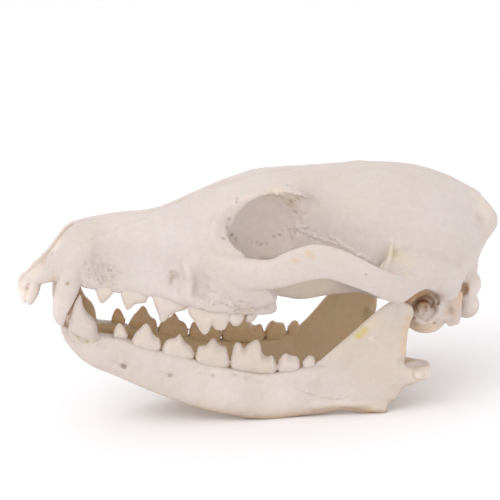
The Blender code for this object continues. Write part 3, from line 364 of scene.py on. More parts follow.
# Marks on the skull: reach, height, roughness of the height, points of the left half's path
SKULL_MARKS = (
    (0.9, -0.28, 0.5, (16.1, 13.5, 20.8), (21.4, 12.9, 23.6), (27.1, 10.5, 26.4), (32.8, 9.5, 29.2),
        (40.9, 7, 33), (48.2, 5.5, 35.9)),
    (0.8, -0.18, 0.5, (24.1, 13.6, 20), (21.4, 15.1, 15.2), (18.6, 15.7, 11)),
    (1.1, -0.3, 0.2, (13.5, 0, 27), (34, 0, 33.5), (56, 0, 42)),
    (1.3, 0.4, 0.8, (-0.6, 5, 7.7), (4, 5.6, 13), (9, 5.6, 19.6), (14.4, 5.4, 25.8)),
    (5.5, 0.4, 0, (13.3, 16, 9.2), (15.1, 15, 14.7), (19.3, 13.7, 19.8)),
    (3, 1.2, 0, (58.8, 20.6, 20.1), (61.2, 23.8, 15.6), (62.1, 23.9, 10.8), (62.1, 25.9, 6.4)),
    (0.8, -0.2, 0.5, (84.3, 39.3, 24.4), (87.2, 41.4, 21.2), (90.6, 42.7, 17.9)),
    (1.5, 0.8, 0.9, (65.8, 27.6, 7.3), (70.4, 29, 7.3), (75.5, 29.7, 7.5), (81.4, 29.7, 7.7),
        (86.2, 28.4, 8.5), (91.5, 25.9, 10)),
    (1.3, 0.9, 0.8, (115, 20.3, 35.3), (119.7, 23, 33.2), (124.4, 25.2, 31.3), (129.2, 26.9, 29.8),
        (134, 28.1, 28.5)),
    (1.1, 0.8, 0.7, (101.2, 16.3, 37.1), (105.5, 16, 35.7), (111, 16.1, 33.8), (115.4, 19.8, 33.2),
        (121, 23.5, 32.2)),
    (0.8, -0.25, 0.6, (132.4, 10.5, 61.3), (131.2, 14.2, 59.5), (132.2, 17.2, 57.8), (133.2, 19.3, 56.4),
        (133.9, 21.2, 54.8)),
    (0.7, -0.2, 0.3, (44, 14.8, 15.2), (45.9, 15.4, 15.5), (48.6, 16.3, 16)),
    (3.6, -0.9, 0, (101, 22, 51.2), (104.1, 18, 49), (107, 16.8, 47.6)),
    (2, -0.8, 0.3, (163.8, 28.3, 15.3), (165.6, 27.1, 12.6), (166.6, 26.8, 9.7), (166.8, 26, 7)),
    (4.8, -1.2, 0, (65.1, 25.1, 15.5), (65.9, 25, 12.2), (66.5, 26.4, 9.4)),
    (4.6, -1.1, 0, (54, 18, 18), (54.8, 19.6, 14), (55.6, 21.4, 9)),
    (1, -0.9, 0.2, (-0.6, 8.2, 2), (-0.5, 8.4, -1), (-0.3, 8.4, -4.5)),
    (0.9, -0.4, 0.5, (2.6, 6.2, 9.6), (4.5, 6.5, 11.3), (6.6, 7.4, 14.2)),
    (1, 0.6, 0.6, (98.7, 13.9, 36.1), (101.8, 15.1, 37.4), (105.4, 16.5, 38)),
    (0.9, -0.5, 0.2, (98, 13.7, 36.6), (99.2, 13.9, 34.6), (100.4, 14.6, 32.1)),
    (1.3, 0.7, 0.9, (137.3, 39.8, 30.1), (139.8, 39.1, 30.3), (143.1, 38, 30.8), (146.4, 37.6, 30.6)),
    (1.4, -0.3, 0.5, (174, 14.4, 48.6), (175.6, 14.1, 46.6), (177.4, 13.2, 44.5)),
    (1.3, 0.3, 0.9, (76.4, 17.8, 47.2), (79.5, 18.8, 49.8), (84.2, 20, 51.4)),
    (2.3, 0.8, 0.9, (86, 20.2, 51.6), (91.2, 20.2, 51), (94.3, 19.7, 50.6), (97.4, 18.9, 49.4),
        (100.6, 19.6, 49)),
    (1.5, 0.25, 0.9, (79, 29.5, 27.8), (75, 26, 30.5), (73.4, 22, 36), (75.2, 19.5, 41),
        (77.5, 18.5, 46)),
    (1, 0.4, 0.3, (101.4, 16, 38.6), (101.9, 16, 36), (102.4, 15.6, 33)),
    (2.2, -0.5, 0, (98.6, 15, 40), (99.6, 15, 35), (100.4, 14.6, 31)),
)

# Round pits, left half: x, y, z, reach and depth, and how steep their walls are
PIT_POWER = 1.5
SKULL_PITS = (
    (10.3, 14.5, 7.4, 0.7, 0.5), (7.6, 7.2, 15.2, 0.8, 0.5), (74.7, 18.3, 38.6, 1, 0.7),
    (76.5, 17.3, 31.6, 1.1, 0.8), (72.8, 23.7, 32.1, 1.1, 0.7), (74.3, 19.4, 35.2, 0.9, 0.6),
    (76.4, 17.8, 47.2, 1, 0.6), (76.6, 18.7, 45.8, 0.8, 0.5), (93.9, 12.9, 31.7, 0.9, 0.7),
    (95.6, 13.1, 32.8, 0.9, 0.6), (87.2, 13.3, 28.9, 0.6, 0.4), (88.8, 13.3, 28.1, 0.9, 0.6),
    (91.4, 13.1, 28.8, 0.6, 0.4), (85, 13.6, 29.1, 0.5, 0.4), (78.7, 16, 29.8, 0.9, 0.6),
    (98, 17.5, 47.4, 1.1, 0.8), (97.7, 16.5, 45.9, 0.8, 0.5), (100.3, 15.9, 43.2, 1, 0.7),
    (124.5, 55.3, 30.5, 0.7, 0.6), (54.4, 19.3, 15.3, 1.2, 0.7), (55.4, 19.9, 13.6, 1.7, 1.2),
    (54.4, 19.8, 11.8, 1.1, 0.7), (67.3, 26.9, 3.1, 1, 0.7), (71.2, 29.3, 6, 0.8, 0.4),
    (79.8, 29.8, 4.6, 1, 0.6), (81.4, 30.2, 5.3, 0.9, 0.5), (85.9, 31.5, 6.9, 0.9, 0.6),
    (92.2, 28.7, 6.6, 0.9, 0.5), (160, 27.8, 15, 1.3, 1), (14.2, 16.6, 6.2, 0.9, 0.6),
)
DIMPLES = ((67.5, 25.9, 11.4, 2.4, 0.3), (154.9, 29, 12.9, 1.2, 0.8), (157.2, 27, 12.8, 0.9, 0.8))

# Porous patches, left half: x, y, z, reach, number of pores, size and depth of a pore, and how
# much the sizes and depths vary
PORE_SIZES = (0.6, 1.3)
PORE_DEPTHS = (0.5, 1.2)
SKULL_PORES = (
    (28.5, 13.5, 11, 9, 110, 0.9, 0.35), (176, 13.5, 46.5, 4, 16, 1, 0.25), (72, 28.5, 6, 7, 60, 1, 0.4),
    (84, 28, 6.5, 7, 60, 1, 0.4), (101, 48.5, 32, 6, 26, 0.8, 0.25), (141, 34, 30, 7, 40, 0.9, 0.25),
    (6, 9, 10, 8, 40, 0.8, 0.22), (155.5, 28, 7, 5, 60, 1, 0.5), (104, 15, 36, 9, 50, 0.9, 0.35),
    (175.5, 18, 19, 7, 40, 1, 0.35), (97, 19, 50, 5, 40, 1, 0.5), (163, 27.5, 11, 6, 30, 0.9, 0.3),
)

# Marks, pits and pores of the lower jaw, and its swelling over a root: where along the tooth,
# how far under the gum, reach and height, and its path outwards and down
JAW_MARKS = (
    (1.4, -1.1, 0.5, (1.2, 12.4, 2.8), (3.6, 13.6, 0.6), (7.5, 14, -0.6), (10.5, 13.8, -0.4),
        (13, 12.8, 1.4)),
    (1, -0.6, 0.2, (19.6, 13.6, -7.8), (22, 14.2, -8.8), (24.2, 14.7, -9.6)),
    (1.1, -0.5, 0.3, (39, 17.4, -9.6), (42, 18.2, -10.4), (44.6, 18.8, -10.8)),
    (0.8, -0.35, 0.8, (13, 13.6, -1.2), (14.4, 13.6, -1.8), (15.8, 13.7, -2.5)),
    (1, -0.45, 0.3, (54.6, 20.4, -7.4), (58, 21, -8), (61.4, 21.6, -8.2)),
    (1.3, 0.9, 0.9, (-0.1, 7.2, 0.8), (2.4, 10.4, -0.6), (5.5, 12.9, -0.4), (9.5, 13.3, -0.7),
        (15.2, 13.8, -2.1)),
    (1.1, -0.6, 0.5, (66.9, 22.9, -6), (71.7, 24.1, -6.8), (78.6, 25.5, -7.9)),
    (1.2, 0.7, 0.8, (94.4, 28.7, -7.9), (99.7, 29.7, -9.2), (105.6, 30.9, -9.6), (111.4, 32, -8.7),
        (117.1, 33.1, -7.4)),
    (0.9, 0.5, 0, (117, 33.1, 16.4), (119.2, 33.3, 17.4)),
    (1.6, -0.2, 0.2, (108.4, 29.9, 0.8), (113.7, 30.8, 5.8), (118.8, 32.5, 10.9)),
    (1.6, 0.15, 0.2, (112.7, 30.7, -1.9), (117.9, 31.7, 3.1), (123, 33.6, 8.3)),
    (1.6, 0.15, 0.2, (106.9, 31, -4), (112.6, 30.2, -0.4), (118.1, 31.8, 4.8)),
)
JAW_PITS = (
    (24, 14.6, -9.5, 1.3, 0.9), (23, 14.4, -9.1, 1, 0.6), (42.4, 18.3, -10.4, 1.3, 0.9),
    (59.2, 21.3, -8, 1, 0.7),
)
JAW_PORES = (
    (12, 12.5, -4, 9, 40, 0.8, 0.22), (112, 32, -9, 8, 40, 0.8, 0.2), (72, 24, -8, 10, 40, 0.8, 0.18),
)
ROOT_SHARES = (0.27, 0.73)
ROOT_BELOW = 1.5
ROOT_MARK = (2.6, 0.3, 0)
ROOT_PATH = ((0, 0), (0.8, 3), (1.2, 6))

# Broad, middling and fine unevenness of a skin: scale and height
SKULL_GRAIN = ((9, 0.22), (3, 0.09), (1.1, 0.05))
JAW_GRAIN = ((9, 0.18), (3, 0.08), (1.1, 0.05))
TOOTH_GRAIN = ((2.4, 0.12), (0.9, 0.06))
NOISE_STEP = (17.3, 5.1, 9.7)

# Stains, painted light and painted shade, left half: x, y, z, reach, strength and colour. SHADE is
# painted shade in the bottoms of the pits
TAN = (0.52, 0.36, 0.21)
YELLOW = (0.74, 0.62, 0.38)
ORANGE = (0.62, 0.44, 0.28)
BROWN = (0.36, 0.22, 0.1)
CREAM = (0.86, 0.76, 0.62)
OCHRE = (0.58, 0.48, 0.12)
WARM = (0.6, 0.48, 0.38)
BEIGE = (0.62, 0.53, 0.36)
OLIVE = (0.56, 0.49, 0.28)
PINK = (0.52, 0.4, 0.36)
AMBER = (0.62, 0.44, 0.26)
WHITE = (0.86, 0.8, 0.76)
HONEY = (0.86, 0.68, 0.48)
SHADE = (0.34, 0.25, 0.18)
SHADE_SHARE = 0.35

# Stains and patches of painted light and shade of less reach than this are laid on the skin.
# Their edge: how far out it runs, how uneven it is, and where it fades
SNAP_PATCH = 3.0
PATCH_OUT = 1.4
PATCH_UNEVEN = 0.45
PATCH_FADE = 1.25
SKULL_STAINS_AND_PAINTED_LIGHT = (
    (-1, 6, 8, 7, 0.4, CREAM), (8, 6, 19, 6, 0.4, CREAM), (-2.5, 6, -3, 8.5, 0.9, WHITE),
    # Painted shade: BROWN in the pit behind the canine
    (13, 15, -4, 11, 0.3, WHITE), (14.2, 16.6, 6.2, 1.2, 0.5, BROWN), (97.6, 47.1, 31.1, 2, 0.5, ORANGE),
    (102.3, 49.2, 35.1, 2, 0.45, ORANGE), (99.4, 48, 32.4, 1.4, 0.4, ORANGE),
    (104.2, 50.2, 34.3, 1.4, 0.35, ORANGE), (92, 20, 51, 5, 0.35, YELLOW),
    # Painted shade: TAN in the pits under the process behind the orbit
    (98, 19, 48.5, 4, 0.45, YELLOW), (102.5, 20, 50, 3.6, 0.3, PINK), (98.4, 17, 46.8, 2.4, 0.4, TAN),
    (137.6, 33, 33.2, 6, 0.65, OLIVE), (143.5, 33, 33, 7, 0.2, YELLOW), (142, 40, 28, 8, 0.15, YELLOW),
    # Painted shade: the BROWN entries in the hollow under the ear shelf and the AMBER one in the dent
    # behind it. HONEY is painted warm light on the underside of the bulla
    (178, 8, 50, 9, 0.3, CREAM), (176, 14, 46.8, 4.5, 0.4, PINK), (153.5, 30, 17.5, 8, 1, BROWN),
    (148, 35, 18.5, 7, 1, BROWN), (154.5, 27, 16.6, 5, 0.8, BROWN), (157, 22, 2, 11, 0.6, HONEY),
    (169, 23, 19, 7, 1, AMBER), (166.8, 26.5, 12, 4.5, 0.5, TAN), (177, 17, 16, 9, 0.35, WHITE),
    # Painted shade: BEIGE on the shaded wall under the arch, WARM inside the orbit and TAN in the nerve
    # hole under the eye
    (110, 14, 14, 18, 0.6, BEIGE), (91, 14, 36, 20, 0.25, WARM), (55, 19.6, 13.6, 3, 0.35, TAN),
    (-0.5, 8.4, -1, 1.3, 0.4, YELLOW), (9, 13, 6, 3.5, 0.35, TAN), (4.5, 6.5, 11.3, 2.2, 0.4, TAN),
    # Painted shade: SHADE among the scratches and pores. Painted highlight: the faint broad WHITE entries
    # over the snout and the forehead
    (84, 29, 5.4, 6, 0.3, TAN), (28.5, 14, 10, 7, 0.15, SHADE), (38, 8, 32, 20, 0.14, WHITE),
    (78, 14, 56, 24, 0.14, WHITE),
)
JAW_STAINS_AND_PAINTED_LIGHT = (
    (113, 33, 17.4, 2.3, 1, OCHRE), (114.8, 33.2, 19.6, 2.3, 1, OCHRE),
    (118, 34.6, 23, 4.5, 0.35, YELLOW), (122, 34.5, -13, 4, 0.4, YELLOW),
    (132, 38.4, 27, 3.2, 0.6, AMBER), (131.4, 38, 22.5, 3.2, 0.7, AMBER),
    (131.4, 37.4, 18, 3.2, 0.7, AMBER), (131.8, 36.8, 14, 3.2, 0.6, AMBER),
    # Painted light: CREAM on the condyle. Painted shade: TAN on the condyle's neck
    (135.6, 30, 8.6, 3.6, 0.5, TAN), (140, 37, 4.4, 6.5, 0.6, CREAM),
    # Painted light from the floor: the broad WHITE entries along the lower border. The small WHITE one on
    # the ramus is a real pale fleck
    (118.2, 33.2, 16.9, 1.6, 0.7, WHITE), (60, 21, -14, 15, 0.22, WHITE), (86, 27, -16, 15, 0.25, WHITE),
    (110, 31, -14, 12, 0.15, WHITE), (139.6, 40.8, 5.4, 1.6, 0.5, PINK), (118, 33, 12, 24, 0.3, BEIGE),
    # Painted shade: BROWN in the nerve holes, OLIVE in the gap along the lower canine's foot and between
    # the canines, and TAN over the lower incisors
    (24, 14.6, -9.5, 2.2, 0.3, BROWN), (42.4, 18.3, -10.4, 1.8, 0.3, BROWN),
    (4, 13.6, 0.8, 2.6, 0.5, OLIVE), (8, 14, -0.4, 2.6, 0.5, OLIVE), (2.4, 5, 5.5, 5, 0.7, TAN),
    (12, 13.4, 0.4, 2.2, 0.4, OLIVE),
)
SKULL_BONE = (0.602, 0.545, 0.515)
JAW_BONE = (0.612, 0.552, 0.508)
TOOTH = (0.63, 0.56, 0.5)

# Painted shade: what the sides that face the midline multiply their colour by, and how fast it comes on
INNER_SHADE = (1.06, 0.9, 0.62)
PALATE_SHADE = (1, 0.96, 0.88)
INNER_SHADE_GAIN = 1.6

# Fillings of the skull and the lower jaw, and hollows under the shelf of the ear
SKULL_FILLS = (
    ((140.6, 28.2, 35.2), (3.4, 3, 3.4)), ((156.4, 25.2, 9.4), (5.2, 2.8, 3.4)),
    ((-1.8, 5.2, 1.4), (2.5, 3.6, 1.9)),
)
EAR_HOLLOWS = (
    ((149.5, 39.6, 17.6), (11, 6, 5.2), 0, -45), ((165.6, 29.4, 10.2), (1.5, 3.6, 5.4), -14, 0),
)
CONDYLE_FILL = ((137.4, 31.4, 6), (5.6, 3.4, 2.5))

# Scratches in the porous bone above the front cheek teeth: middle, reach, number, and of one
# scratch how far back and down it runs and its reach, height and roughness
SCRATCHES = ((27.5, 14, 11.6), 5.4, 40)
SCRATCH_SPREAD = (1, 0, 0.8)
SCRATCH_BACK = (0.8, 2.2)
SCRATCH_DOWN = (-2, -0.2)
SCRATCH_CUT = (0.65, -0.42, 0.5)

# Mottling of the bone: scale, darkest and lightest share, and depth of its bump
MOTTLES = (
    (45, (0.97, 0.945, 0.9, 1), (1, 0.985, 1, 1), 0),
    (420, (0.975, 0.97, 0.965, 1), (1.01, 1.01, 1.01, 1), 0.00025),
    (1500, (0.99, 0.99, 0.99, 1), (1.01, 1.01, 1.01, 1), 0.0003),
)

# Fine teeth: space between sections, neck under the bulge of a lower crown, points to a section
BLADE_STEP = 0.25
NECK_REACH = 1.5
NECK_LIFT = 1.6
NECK_TIP = 1.3
FINE_BLADE_SIDES = 28
FINE_CUSP = ((0, 1), (0.3, 0.98), (0.6, 0.86), (0.8, 0.66), (0.93, 0.42), (1, 0.2))
FINE_SIDES = 24

# Sockets of the mix nodes for colours
MIX_A = 6
MIX_B = 7
MIX_RESULT = 2

# Lights: name, place, what they look at, size, energy and colour
LIGHTS = (
    ("key", (-0.9, -0.7, 1.1), (0, 0, 0.05), 1.2, 5.8, (1, 0.99, 1)),
    ("fill", (0.4, -1.3, 0.25), (0, 0, 0.04), 1.2, 2.6, (1, 0.98, 0.97)),
)


def along(knots, x):
    """Value of a smooth curve through (x, value) knots that never overshoots them."""
    at, value = np.array(knots, float).T
    slope = np.diff(value) / np.diff(at)
    product = slope[1:] * slope[:-1]
    total = np.where(np.abs(slope[1:] + slope[:-1]) < TINY, 1.0, slope[1:] + slope[:-1])
    inner = np.where(product > 0.0, 2.0 * product / total, 0.0)
    lean = np.concatenate(([slope[0]], inner, [slope[-1]]))
    x = np.clip(x, at[0], at[-1])
    i = np.clip(np.searchsorted(at, x, side="right") - 1, 0, len(slope) - 1)
    span = at[i + 1] - at[i]
    t = (x - at[i]) / span
    rise = value[i + 1] - value[i]
    return (value[i] + span * lean[i] * t * (1 - t) ** 2 - span * lean[i + 1] * t ** 2 * (1 - t)
            + rise * t * t * (3 - 2 * t))


def smooth_path(points, steps):
    """Rows of a Catmull-Rom curve through rows of numbers, with steps to each stretch."""
    rows = np.array(points, float)
    rows = np.vstack((2 * rows[0] - rows[1], rows, 2 * rows[-1] - rows[-2]))
    out = []
    for i in range(1, len(rows) - 2):
        a, b, c, d = rows[i - 1:i + 3]
        for t in np.arange(steps) / steps:
            out.append(0.5 * (2 * b + (c - a) * t + (2 * a - 5 * b + 4 * c - d) * t ** 2
                              + (3 * b - a - 3 * c + d) * t ** 3))
    return np.array(out + [rows[-2]])


def skin_over(rings):
    """Closed skin over a row of rings, each with the same number of points."""
    shape = bmesh.new()
    loops = [[shape.verts.new(Vector(point) * MM) for point in ring] for ring in rings]
    for ring, following in zip(loops, loops[1:]):
        for i in range(len(ring)):
            j = (i + 1) % len(ring)
            shape.faces.new((ring[i], ring[j], following[j], following[i]))
    shape.faces.new(loops[0])
    shape.faces.new(loops[-1])
    return shape


def ring_angles(count):
    """Angles of the points of a ring."""
    return np.arange(count) * 2 * math.pi / count


def ring_points(x, y, z):
    """Points of a ring, each coordinate of which is a number or a row of numbers."""
    return np.column_stack(np.broadcast_arrays(x, y, z))


def section(angle, upper, lower):
    """Unit outline with its own squareness above and below: sideways and upward parts."""
    side, rise = np.cos(angle), np.sin(angle)
    power = 2.0 / np.where(rise > 0, upper, lower)
    return np.sign(side) * np.abs(side) ** power, np.sign(rise) * np.abs(rise) ** power


def loft(middle, half, widest, under, top, upper, lower):
    """Bar along x, as long as its width curve, whose sections are curves of x."""
    start, end = half[0][0], half[-1][0]
    angle = ring_angles(BAR_SIDES)
    rings = []
    for x in np.linspace(start, end, int((end - start) / BAR_STEP) + 1):
        level = along(widest, x)
        out, rise = section(angle, along(upper, x), along(lower, x))
        height = np.where(rise > 0, along(top, x) - level, level - along(under, x))
        rings.append(ring_points(x, along(middle, x) + along(half, x) * out, level + height * rise))
    return skin_over(rings)


def bent_bar(stations, side, up=(0, 0, 1), steps=PATH_STEPS, sides=BENT_SIDES):
    """Bent bar with an oval section through stations of the left half."""
    rows = smooth_path(stations, steps)
    tangent = np.gradient(rows[:, :3], axis=0)
    tangent /= np.linalg.norm(tangent, axis=1)[:, None]
    out = np.cross(tangent, up)
    out /= np.linalg.norm(out, axis=1)[:, None]
    rise = np.cross(out, tangent)
    across, over = section(ring_angles(sides), BENT_SQUARE, BENT_SQUARE)
    rings = []
    for row, o, r in zip(rows, out, rise):
        ring = row[:3] + np.outer(across * row[4], o) + np.outer(over * row[3], r)
        rings.append(ring * (1, side, 1))
    return skin_over(rings)


def ellipsoid(centre, radii, side=1, pitch=0, turn=0, sides=BALL_SIDES):
    """Ellipsoid. Pitch turns it nose up, and turn swings it outwards."""
    place = (Matrix.Translation(Vector(centre) * MM) @ Matrix.Rotation(math.radians(turn), 4, "Z")
             @ Matrix.Rotation(math.radians(-pitch), 4, "Y")
             @ Matrix.Diagonal((*(Vector(radii) * MM), 1)))
    mirror = Matrix.Scale(side, 4, (0, 1, 0))
    shape = bmesh.new()
    bmesh.ops.create_uvsphere(shape, u_segments=sides, v_segments=sides // 2, radius=1.0,
                              matrix=mirror @ place)
    return shape


def finish_shape(shape, name, collection):
    """Turn a bmesh into an object, with its faces pointing out."""
    bmesh.ops.recalc_face_normals(shape, faces=shape.faces)
    mesh = bpy.data.meshes.new(name)
    shape.to_mesh(mesh)
    shape.free()
    made = bpy.data.objects.new(name, mesh)
    collection.objects.link(made)
    return made


def bake(made):
    """Apply the object's modifiers to its mesh."""
    graph = bpy.context.evaluated_depsgraph_get()
    mesh = bpy.data.meshes.new_from_object(made.evaluated_get(graph))
    made.modifiers.clear()
    made.data = mesh


def remesh(made, voxel, rounds):
    """Fuse all that overlaps in the mesh into one skin, and ease its creases."""
    fuse = made.modifiers.new("fuse", "REMESH")
    fuse.mode = "VOXEL"
    fuse.voxel_size = voxel * MM
    ease = made.modifiers.new("ease", "SMOOTH")
    ease.factor = EASE
    ease.iterations = rounds
    bake(made)


def new_group(name):
    """New collection in the scene."""
    group = bpy.data.collections.new(name)
    bpy.context.scene.collection.children.link(group)
    return group


def combine(made, operation, shapes):
    """Unite the object with closed shapes, or cut them out of it."""
    others = new_group("others")
    for shape in shapes:
        finish_shape(shape, "other", others)
    step = made.modifiers.new("combine", "BOOLEAN")
    step.operation = operation
    step.solver = "MANIFOLD"
    step.operand_type = "COLLECTION"
    step.collection = others
    bake(made)
    for other in list(others.objects):
        bpy.data.objects.remove(other)
    bpy.data.collections.remove(others)


def keep_largest(made):
    """Keep only the largest closed surface of a mesh."""
    shape = bmesh.new()
    shape.from_mesh(made.data)
    unseen = set(shape.verts)
    pieces = []
    while unseen:
        piece = set()
        front = {unseen.pop()}
        while front:
            piece |= front
            front = {edge.other_vert(at) for at in front for edge in at.link_edges} - piece
        unseen -= piece
        pieces.append(piece)
    pieces.sort(key=len)
    for piece in pieces[:-1]:
        bmesh.ops.delete(shape, geom=list(piece), context="VERTS")
    shape.to_mesh(made.data)
    shape.free()


def skin_of(made):
    """Places in millimetres and normals of a mesh's points, and the places on the left half."""
    count = len(made.data.vertices)
    place = np.empty(count * 3)
    normal = np.empty(count * 3)
    made.data.vertices.foreach_get("co", place)
    made.data.vertices.foreach_get("normal", normal)
    place = place.reshape(-1, 3) / MM
    return place, normal.reshape(-1, 3), place * (1, 0, 1) + np.abs(place) * (0, 1, 0)


def lift_skin(made, place, normal, lift):
    """Raise a mesh's points from places in millimetres along their normals."""
    made.data.vertices.foreach_set("co", ((place + normal * lift[:, None]) * MM).ravel())
    made.data.update()


def on_skin(left, points):
    """The places on a mesh nearest to some points."""
    found = []
    for point in points:
        some = left[np.all(np.abs(left - point) < SNAP_REACH, axis=1)]
        found.append(some[np.argmin(np.sum((some - point) ** 2, axis=1))])
    return np.array(found)


def path_distance(left, points, reach):
    """Distance of the places near a row of points to it, with the indices of those places."""
    low, high = points.min(0) - reach, points.max(0) + reach
    near = np.flatnonzero(np.all((left > low) & (left < high), axis=1))
    some = left[near]
    nearest = np.full(len(near), np.inf)
    for a, b in zip(points, points[1:]):
        line = b - a
        t = np.clip((some - a) @ line / max(line @ line, TINY), 0, 1)
        nearest = np.minimum(nearest, np.linalg.norm(some - a - t[:, None] * line, axis=1))
    return near, nearest


def ball_distance(left, centre, reach):
    """Distance of the places near a point to it, with the indices of those places."""
    near = np.flatnonzero(np.all(np.abs(left - centre) < reach, axis=1))
    return near, np.linalg.norm(left[near] - centre, axis=1)


def wave(places, scale, seed):
    """Smooth noise about -1 to 1 at places in millimetres."""
    offset = Vector([seed * step for step in NOISE_STEP])
    return np.array([noise.noise(Vector(p) / scale + offset) for p in places])


def mark(made, marks, snap=True):
    """Raise ridges and cut seams along paths, with a broken height where asked."""
    place, normal, left = skin_of(made)
    lift = np.zeros(len(place))
    for seed, (reach, height, rough, *path) in enumerate(marks):
        points = smooth_path(path, PATH_STEPS)
        if snap:
            points = on_skin(left, points)
        near, distance = path_distance(left, points, reach)
        fall = np.clip(1 - distance / reach, 0, 1)
        change = height * fall * fall * (3 - 2 * fall)
        if rough:
            broken = rough * MARK_BREAK * np.abs(wave(place[near], MARK_GRAIN, seed))
            change *= np.clip(1 - rough + broken, 0, MARK_MOST)
        lift[near] += change
    lift_skin(made, place, normal, lift)


def pit(made, pits, patches, seed):
    """Press single pits, and patches of pores, into a mesh."""
    place, normal, left = skin_of(made)
    lift = np.zeros(len(place))
    chance = np.random.default_rng(seed)
    for *centre, reach, depth in pits:
        near, distance = ball_distance(left, on_skin(left, (centre,))[0], reach)
        lift[near] -= depth * np.clip(1 - (distance / reach) ** 2, 0, 1) ** PIT_POWER
    for *centre, reach, count, size, depth in patches:
        inside = np.flatnonzero(np.linalg.norm(left - centre, axis=1) < reach)
        for index in chance.choice(inside, count):
            at = place[index]
            r = size * chance.uniform(*PORE_SIZES)
            near = inside[np.all(np.abs(place[inside] - at) < r, axis=1)]
            distance = np.linalg.norm(place[near] - at, axis=1)
            fall = np.clip(1 - (distance / r) ** 2, 0, 1)
            lift[near] -= depth * chance.uniform(*PORE_DEPTHS) * fall
    lift_skin(made, place, normal, lift)


def roughen(made, layers):
    """Uneven the skin with layers of noise: scale, height."""
    place, normal, _ = skin_of(made)
    lift = np.zeros(len(place))
    for seed, (scale, height) in enumerate(layers):
        lift += height * wave(place, scale, GRAIN_SEED + seed)
    lift_skin(made, place, normal, lift)


def tint(made, base, colour_patches, inner):
    """Store the bone's colour as a colour attribute, with its stained patches, its patches of painted
    light and shade, and painted shade on the sides that face the midline.
    """
    place, normal, left = skin_of(made)
    colour = np.tile(np.array((*base, 1.0)), (len(place), 1))
    # Painted shade on the sides that face the midline, by how far they turn towards it
    inward_shade = np.clip(-normal[:, 1] * np.sign(place[:, 1]) * INNER_SHADE_GAIN, 0, 1)[:, None]
    colour[:, :3] *= 1 - inward_shade * (1 - np.array(inner))
    for seed, (*centre, reach, strength, patch_colour) in enumerate(colour_patches):
        if reach < SNAP_PATCH:
            centre = on_skin(left, (centre,))[0]
        near, distance = ball_distance(left, centre, reach * PATCH_OUT)
        grain = PATCH_UNEVEN * wave(place[near], reach * PATCH_UNEVEN, PATCH_SEED + seed)
        share = strength * np.clip(PATCH_FADE - distance / reach - grain, 0, 1)
        share = (share * np.clip(PATCH_OUT - distance / reach, 0, 1))[:, None]
        colour[near, :3] = colour[near, :3] * (1 - share) + np.array(patch_colour) * share
    layer = made.data.color_attributes.new("tint", "FLOAT_COLOR", "POINT")
    layer.data.foreach_set("color", colour.ravel())


def tooth_cusp(cusp, side, down):
    """One cusp, from a root inside the bone to a rounded tip."""
    x, y, z, lean_x, lean_y, height, length, width = cusp
    angle = ring_angles(FINE_SIDES)
    rings = []
    for level, size in ((-ROOT_DEPTH / height, ROOT_SIZE),) + FINE_CUSP:
        shift = max(level, 0.0)
        rings.append(ring_points(x + lean_x * shift + length * size * np.cos(angle),
                                 (y + lean_y * shift + width * size * np.sin(angle)) * side,
                                 z - down * level * height))
    return skin_over(rings)


def carve(bone, hollows):
    """Cut round hollows into a bone, on both sides where they lie off the midline."""
    shapes = []
    for centre, radii, pitch, turn in hollows:
        for side in (-1, 1) if centre[1] else (1,):
            shapes.append(ellipsoid(centre, radii, side, pitch, turn, HOLLOW_SIDES))
    combine(bone, "DIFFERENCE", shapes)


def front_teeth(canine, cusps, side, down):
    """One half's canine, incisors and inner cusps, which run into the bone."""
    shapes = [bent_bar(canine, side, up=(1, 0, 0), steps=CANINE_STEPS, sides=FINE_SIDES)]
    return shapes + [tooth_cusp(cusp, side, down) for cusp in cusps]


def scratches(middle, reach, count):
    """Short cuts scattered about a place."""
    chance = np.random.default_rng(SCRATCH_SEED)
    cuts = []
    for _ in range(count):
        start = np.array(middle) + reach * chance.uniform(-1, 1, 3) * SCRATCH_SPREAD
        end = start + (chance.uniform(*SCRATCH_BACK), 0, chance.uniform(*SCRATCH_DOWN))
        cuts.append((*SCRATCH_CUT, start, end))
    return tuple(cuts)


